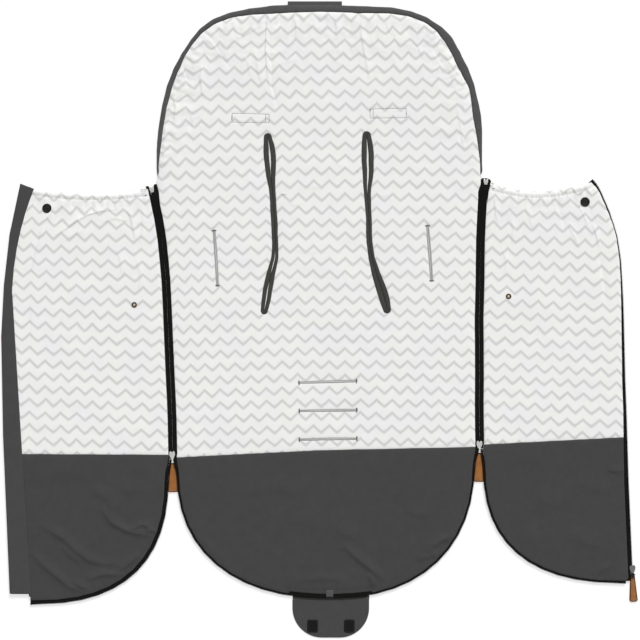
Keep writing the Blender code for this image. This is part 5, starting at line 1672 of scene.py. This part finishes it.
def settled(obj, name, materials, body, place, angle=0.0, sharp=40):
    """Names a finished part, scales it to metres, moves its mesh to its place and lets it ride."""
    face_outwards(obj)
    obj.name = obj.data.name = name
    turn = Matrix.Rotation(angle, 4, "Z")
    obj.data.transform(Matrix.Translation(Vector(place) * MM) @ turn @ Matrix.Scale(MM, 4))
    obj.data.materials.clear()
    for material in materials:
        obj.data.materials.append(material)
    obj.data.shade_smooth()
    obj.data.set_sharp_from_angle(angle=math.radians(sharp))
    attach(obj, body)
    return obj


def slider_plate(bottom, top, outer):
    """One plate: a shield with two lobes at its wide end and a raised rim on its outer face."""
    plate = block(9, 12, bottom, top)
    with shaping():
        select(lambda edge: edge_length(edge, 0) > 5, "EDGE")
        bpy.ops.mesh.subdivide(number_cuts=3)
        select(lambda edge: edge_length(edge, 1) > 5, "EDGE")
        bpy.ops.mesh.subdivide(number_cuts=3)
        for level, width in ((-6, 0.38), (-3, 0.72), (0, 0.97), (6, 0.84)):
            select(lambda vert: abs(vert.co.y - level) < 0.2, "VERT")
            bpy.ops.transform.resize(value=(width, 1, 1))
        select(lambda vert: vert.co.y > 5 and abs(vert.co.x) < 0.2, "VERT")
        bpy.ops.transform.translate(value=(0, -2.3, 0))
        select(lambda vert: vert.co.y > 5 and abs(vert.co.x) > 3, "VERT")
        bpy.ops.transform.translate(value=(0, -0.9, 0))
        select(lambda face: face.normal.z * outer > 0.9, "FACE")
        bpy.ops.mesh.inset(thickness=0.75, depth=0.0)
        bpy.ops.transform.translate(value=(0, 0, -0.22 * outer))
        bpy.ops.mesh.select_all(action="SELECT")
        bpy.ops.mesh.subdivide(number_cuts=1)
    soften(plate, 0.12)
    return plate


def soften(obj, width, segments=2, angle=45):
    bpy.ops.object.select_all(action="DESELECT")
    obj.select_set(True)
    bpy.context.view_layer.objects.active = obj
    edge = obj.modifiers.new("edge", "BEVEL")
    edge.width = width
    edge.segments = segments
    edge.limit_method = "ANGLE"
    edge.angle_limit = math.radians(angle)
    bpy.ops.object.modifier_apply(modifier=edge.name)


def make_slider(name, body, place, angle, finish):
    """Both plates, the post between the coils, the flanges at the tapes and the bail under the outer plate."""
    upper = slider_plate(1.1, 1.9, 1)
    lower = slider_plate(-1.9, -1.1, -1)
    post = block(1.0, 3, -1.3, 1.3, (0, -1.5))
    soften(post, 0.2)
    parts = [upper, lower, post]
    for side in (-3.6, 3.6):
        for bottom, top in ((-1.5, -0.55), (0.55, 1.5)):
            flange = block(0.6, 5.2, bottom, top, (side, 2.6))
            soften(flange, 0.12)
            parts.append(flange)
    bail = block(1.6, 5, -3.5, -1.5)
    with shaping():
        select(lambda edge: edge_length(edge, 1) > 3 and edge.verts[0].co.z < -3, "EDGE")
        bpy.ops.mesh.bevel(offset=0.35, segments=2)
        select(lambda edge: edge_length(edge, 1) > 3, "EDGE")
        bpy.ops.mesh.subdivide(number_cuts=4)
    soften(bail, 0.3)
    parts.append(bail)
    slider = settled(joined(parts), f"{name}_body", [finish], body, (*place, COIL_MIDDLE), angle)
    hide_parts(name)


def make_link(name, body, place, angle, finish, length):
    """A loop of round wire from the bail to the leather."""
    bpy.ops.object.select_all(action="DESELECT")
    bpy.ops.mesh.primitive_plane_add(size=1)
    with shaping():
        bpy.ops.mesh.select_all(action="SELECT")
        bpy.ops.transform.resize(value=(3.9, length, 1))
        bpy.ops.transform.translate(value=(0, -length / 2, 0))
        select(lambda vert: vert.co.y < -length + 1, "VERT")
        bpy.ops.transform.resize(value=(1.1, 1, 1))
        bpy.ops.mesh.select_all(action="SELECT")
        bpy.ops.mesh.bevel(offset=1.3, segments=5, affect="VERTICES")
        bpy.ops.mesh.delete(type="ONLY_FACE")
    bpy.ops.object.convert(target="CURVE")
    wire = bpy.context.object.data
    wire.bevel_depth = 0.25
    wire.bevel_resolution = 3
    bpy.ops.object.convert(target="MESH")
    link = settled(bpy.context.object, f"{name}_wire", [finish], body, (*place, PULLER_HEIGHT), angle, 60)
    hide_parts(name)


def make_leather(name, body, place, angle, finishes, top, length, neck, width):
    """A tapering strap of leather, folded over the link's bar and pressed flat, with dark painted edges."""
    tab = block(neck, length, -1, 1, (0, -top - length / 2))
    with shaping():
        select(lambda vert: vert.co.y < -40, "VERT")
        bpy.ops.transform.resize(value=(width / neck, 1, 1))
        select(lambda edge: edge_length(edge, 2) > 1 and edge.verts[0].co.y < -40, "EDGE")
        bpy.ops.mesh.bevel(offset=3.4, segments=6)
        select(lambda edge: edge_length(edge, 2) > 1 and edge.verts[0].co.y > -20, "EDGE")
        bpy.ops.mesh.bevel(offset=0.8, segments=3)
        select(lambda face: abs(face.normal.z) > 0.9, "FACE")
        for thickness in (0.35, 1.2, 0.35):
            bpy.ops.mesh.inset(thickness=thickness, depth=0.0)
        bpy.ops.transform.resize(value=(1, 1, 0.9))
    with shaping():
        select(lambda face: abs(face.normal.z) < 0.3, "FACE")
        bpy.ops.mesh.inset(thickness=0.3, depth=0.0)
        bpy.ops.transform.resize(value=(1.02, 1.004, 1))

    def is_border(face):
        x, y, _ = face.center
        half = (neck + (width - neck) * np.clip((-top - y) / length, 0, 1)) / 2
        return abs(face.normal.z) < 0.5 or abs(x) > half - 1.3 or y < 1.2 - top - length

    border = [int(is_border(face)) for face in tab.data.polygons]
    materials = [finishes["leather"], finishes["leather edge"]]
    leather = settled(tab, f"{name}_strap", materials, body, (*place, PULLER_HEIGHT), angle, 50)
    leather.data.polygons.foreach_set("material_index", border)
    leather.data.update()
    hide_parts(name)


def make_runners(finishes):
    # Place, angles of the slider and of its puller, metal, then the leather's start, length and widths
    runners = (
        ("left", (-229, -209), 0.06932, 0.03, "silver", 14.5, 43.5, 8.4, 18.4),
        ("right", (247, -193), -0.01141, -0.005, "silver", 14.5, 43.5, 8.8, 18.4),
        ("centre", (484.207, -385.916), 0.043, 0.045, "dark metal", 7.5, 43.6, 6.4, 13),
    )
    for side, place, angle, hang, finish, top, length, neck, width in runners:
        make_slider(f"slider_{side}", f"slider_{side}", place, angle, finishes[finish])
        make_link(f"puller_link_{side}", f"puller_{side}", place, hang, finishes[finish], top + 1.8)
        make_leather(f"leather_puller_{side}", f"puller_{side}", place, hang, finishes, top, length, neck, width)


def make_stud(name, body, place, radius, thickness, finishes, dished):
    """A press stud: its face with a rolled rim, the barrel and the cap in the shell."""
    face = disc(radius, 0, thickness)
    with shaping():
        select(lambda part: part.normal.z > 0.9, "FACE")
        for share, rise in ((0.22, 0), (0.12, -1), (0.2, 0), (0.1, 0.8), (0.16, -0.5)):
            bpy.ops.mesh.inset(thickness=radius * share, depth=0.0)
            bpy.ops.transform.translate(value=(0, 0, thickness * dished * rise))
    soften(face, radius * 0.035, 3, 30)
    with shaping():
        bpy.ops.mesh.select_all(action="SELECT")
        bpy.ops.transform.translate(value=(0, 0, 5.62))
    barrel = disc(1.6, 0.9, 5.7, 20)
    cap = disc(5, 0, 1)
    with shaping():
        select(lambda part: part.normal.z < -0.9, "FACE")
        bpy.ops.mesh.inset(thickness=1.2, depth=0.0)
        bpy.ops.transform.translate(value=(0, 0, 0.25))
    soften(cap, 0.2, 3, 30)
    stud = settled(joined([face, barrel, cap]), f"{name}_face", finishes, body, (*place, 0))
    for part in stud.data.polygons:
        away = math.dist(part.center.xy / MM, place)
        part.material_index = int(away > radius * 0.42 or part.center.z < 5.5 * MM)
    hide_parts(name)


def make_studs(finishes):
    black = [finishes["black enamel"]] * 2
    brass = [finishes["brass"], finishes["aged brass"]]
    make_stud("black_stud_left", "cover_left", (-423, 172.9), 7.3, 0.9, black, 0.42)
    make_stud("black_stud_right", "cover_right", (410.6, 182.9), 7.3, 0.9, black, 0.42)
    make_stud("brass_stud_left", "cover_left", (-287.75, 23.56), 4.3, 0.75, brass, 0.5)
    make_stud("brass_stud_right", "cover_right", (292.12, 36.52), 4.3, 0.75, brass, 0.5)


def make_tape_ends(finishes):
    """The ends of the side zips' tapes, turned up beside the stops, drawn where they lie once the zips bow."""
    ends = (
        ("left_outer", ((-269.9, 205.2), (-266.9, 207.9), (-263.6, 204.2), (-261.8, 199.2), (-265.8, 196.9))),
        ("left_inner", ((-257.0, 210.3), (-259.2, 203.5), (-256.2, 197.6), (-251.2, 198.2), (-251.8, 210.9))),
        ("right", ((247.0, 196.0), (249.4, 184.5), (256.6, 184.5), (262.2, 196.0), (263.2, 203.0), (265.2, 215.2),
                   (263.6, 218.0), (258.2, 219.8), (251.0, 219.8), (249.4, 218.6), (248.8, 206.0))),
    )
    for name, corners in ends:
        outline = np.array(corners, float)
        if area_of(outline) < 0:
            outline = outline[::-1]
        outline = evenly(outline, 0.9, True)
        outline[:, 0] -= bowed(np.column_stack([outline, np.zeros(len(outline))]))[:, 0] - outline[:, 0]
        start = outline[0][0]
        end = cloth(f"zip_tape_end_{name}", [outline], rolled(Line(outline, True), 4.3, 0.5, 0.25), level(3.5),
                    finishes["tape"], "back", 1.6, (0.45,), run=Line(np.array([(start, 180), (start, 230)], float)))


def make_top_stops(finishes):
    """A folded metal clip over the tops of both coils: two rounded prongs, a low bar and a thin tongue."""
    for side, place, angle in (("left", (-260.6, 202.2), 0.2), ("right", (257.0, 214.4), 0.0)):
        clip = block(5.8, 7.0, 0, 0.35, (0, -0.9))
        with shaping():
            select(lambda edge: edge_length(edge, 2) > 0.2 and edge.verts[0].co.y < 0, "EDGE")
            bpy.ops.mesh.bevel(offset=1.2, segments=3)
        prongs = []
        for sign in (-1, 1):
            prong = block(3.6, 6.4, 0, 1.3, (sign * 2.5, 0.9))
            with shaping():
                select(lambda edge: edge_length(edge, 2) > 1, "EDGE")
                bpy.ops.mesh.bevel(offset=1.1, segments=3)
                select(lambda vert: vert.co.y < 0, "VERT")
                bpy.ops.transform.translate(value=(-sign * 0.5, 0, 0))
            soften(prong, 0.4, 3)
            prongs.append(prong)
        whole = joined([clip, *prongs])
        whole.data.transform(Matrix.Diagonal((0.86, 1, 1, 1)))
        stop = settled(whole, f"top_stop_clip_{side}", [finishes["silver"]], "back", (*place, 4.42), angle)
        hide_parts(f"top_stop_{side}")


def make_zip_box(finishes):
    """The box at the foot of the centre zip."""
    box = block(6, 6.4, -1.15, 1.15)
    with shaping():
        select(lambda edge: edge_length(edge, 2) > 1, "EDGE")
        bpy.ops.mesh.bevel(offset=1.1, segments=4)
        select(lambda face: abs(face.normal.z) > 0.9, "FACE")
        bpy.ops.mesh.inset(thickness=1.1, depth=0.0)
        bpy.ops.transform.resize(value=(1, 1, 0.84))
    soften(box, 0.2, 2)
    retainer = settled(box, "centre_zip_retainer", [finishes["black enamel"]], "cover_right",
                       (484.6, -395.8, COIL_MIDDLE), 0.043)
    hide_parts("centre_zip_box")


# Small sewn details


def make_small_details(finishes):
    """Ends of dark thread that were left on the linings."""
    ends = (
        ("thread_ends", "back", 5.95, 0.3, (
            ((57.2, 231.6), (57.8, 228.6)), ((-59.4, 194.4), (-52.6, 193.8)), ((78.6, 326.4), (77.4, 323.8)),
        )),
        ("hem_thread_end_left", "cover_left", 5.9, 0.4, (((-270.6, 192.6), (-267.6, 193.4)),)),
        ("hem_thread_end_right", "cover_right", 5.9, 0.4, (((266.6, 204.2), (269.8, 203.5)),)),
    )
    for name, body, height, radius, paths in ends:
        end = stitched(name, [np.array(path) for path in paths], level(height), finishes["dark thread"], body,
                       pitch=2.6, length=2.6, radius=radius)


def make_finishes():
    return {
        "zigzag": zigzag_cotton(),
        "foot cloth": woven("charcoal lining", (0.066, 0.066, 0.067), (0.044, 0.044, 0.045), 0.5, 0.85, 12, 0.15),
        "shell": woven("dark grey shell", (0.094, 0.094, 0.096), (0.062, 0.062, 0.064), 0.6, 0.8, 15, 0.2),
        "guard cloth": woven("dark grey guard", (0.07, 0.07, 0.071), (0.047, 0.047, 0.048), 0.6, 0.8, 15, 0.15),
        "binding": ribbed("slit binding", (0.072, 0.072, 0.064), (0.04, 0.04, 0.035), 0.8, 1.6, 0.85, 0.16, 0.15),
        "binding plain": ribbed("grey end strip", (0.105, 0.105, 0.108), (0.06, 0.06, 0.063), 0.8, 1.6),
        "tape": ribbed("zip tape", (0.0115, 0.011, 0.0098), (0.0055, 0.0052, 0.0046), 0.55, 1.1, 0.9, 0.1, 0.05),
        "elastic": ribbed("woven elastic", (0.05, 0.05, 0.052), (0.025, 0.025, 0.026), 0.9, 1.2),
        "coil": moulded("nylon coil", (0.005, 0.0048, 0.0045), 0.55, 0.08),
        "dark thread": thread("dark thread", (0.05, 0.05, 0.052), (0.024, 0.024, 0.025)),
        "pale thread": thread("pale thread", (0.27, 0.27, 0.27), (0.15, 0.15, 0.15)),
        "grey thread": thread("grey thread", (0.3, 0.3, 0.3), (0.15, 0.15, 0.15)),
        "buttonhole": satin_stitch("buttonhole stitch", (0.56, 0.56, 0.55), (0.34, 0.34, 0.335)),
        "bar tack": satin_stitch("bar tack", (0.16, 0.16, 0.165), (0.07, 0.07, 0.073)),
        "loops": pile("loop tape", (0.02, 0.02, 0.021), (0.05, 0.05, 0.052), 0.7, 0.25),
        "hooks": pile("hook tape", (0.004, 0.004, 0.004), (0.012, 0.012, 0.012), 0.9, 0.35),
        "black enamel": moulded("black enamel", (0.012, 0.012, 0.011), 0.42, 0.12),
        "silver": metal("bright nickel", (0.68, 0.67, 0.66), (0.36, 0.35, 0.34), 0.24),
        "dark metal": metal("gunmetal", (0.2, 0.2, 0.205), (0.09, 0.09, 0.092), 0.34),
        "brass": metal("brass", (0.62, 0.5, 0.34), (0.34, 0.26, 0.15), 0.32),
        "aged brass": metal("aged brass", (0.06, 0.05, 0.03), (0.02, 0.016, 0.01), 0.5, 0.8),
        "leather": leather("brown leather", (0.41, 0.165, 0.04), (0.22, 0.078, 0.018)),
        "leather edge": leather("dark leather edge", (0.085, 0.034, 0.014), (0.045, 0.018, 0.008)),
    }


# Floor, light and camera


def make_stage():
    """A white floor under a bright sky, one broad lamp and the camera straight above."""
    bpy.ops.object.select_all(action="DESELECT")
    bpy.ops.mesh.primitive_plane_add(size=6, location=(0, 0, -0.0003))
    floor = bpy.context.object
    floor.name = "floor"
    finish = Finish("white floor")
    matt = finish.node("BsdfPrincipled", None,
                       {"Base Color": (0.9, 0.9, 0.9, 1), "Roughness": 0.9, "Specular IOR Level": 0.1})
    glow = finish.node("Emission", None, {"Color": (1, 1, 1, 1), "Strength": 1.12})
    both = finish.node("MixShader", None, {0: finish.seen() * 0.6, 1: matt, 2: glow})
    finish.node("OutputMaterial", None, {"Surface": both})
    floor.data.materials.append(finish.material)

    world = bpy.data.worlds.new("studio")
    world.use_nodes = True
    sky = Nodes(world.node_tree)
    studio = sky.node("Background", None, {"Color": (1, 1, 1, 1), "Strength": sky.seen() * 0.62 + 0.38})
    sky.node("OutputWorld", None, {"Surface": studio})
    bpy.context.scene.world = world

    bpy.ops.object.light_add(type="SUN", rotation=(math.radians(-46.2), math.radians(19.2), 0))
    sun = bpy.context.object
    sun.data.energy = 2.85
    sun.data.angle = math.radians(18)

    bpy.ops.object.camera_add(location=(0, 0, 3.035), rotation=(0, 0, 0))
    camera = bpy.context.object
    camera.data.lens = 110
    camera.data.sensor_width = 36
    camera.data.clip_end = 20
    bpy.context.scene.camera = camera
    bpy.context.scene.view_settings.view_transform = "Standard"


def main():
    finishes = make_finishes()
    shapes = slot_shapes()
    make_back_shell(shapes, finishes)
    make_back_linings(shapes, finishes)
    make_slots(shapes, finishes)
    make_back_trim(finishes)
    for cover in (LEFT_COVER, RIGHT_COVER):
        make_cover(cover, finishes)
    make_zips(finishes)
    make_zip_guard(finishes)
    make_toe_band(finishes)
    make_toe_flap(finishes)
    make_runners(finishes)
    make_studs(finishes)
    make_top_stops(finishes)
    make_zip_box(finishes)
    make_tape_ends(finishes)
    make_small_details(finishes)
    make_stage()


main()
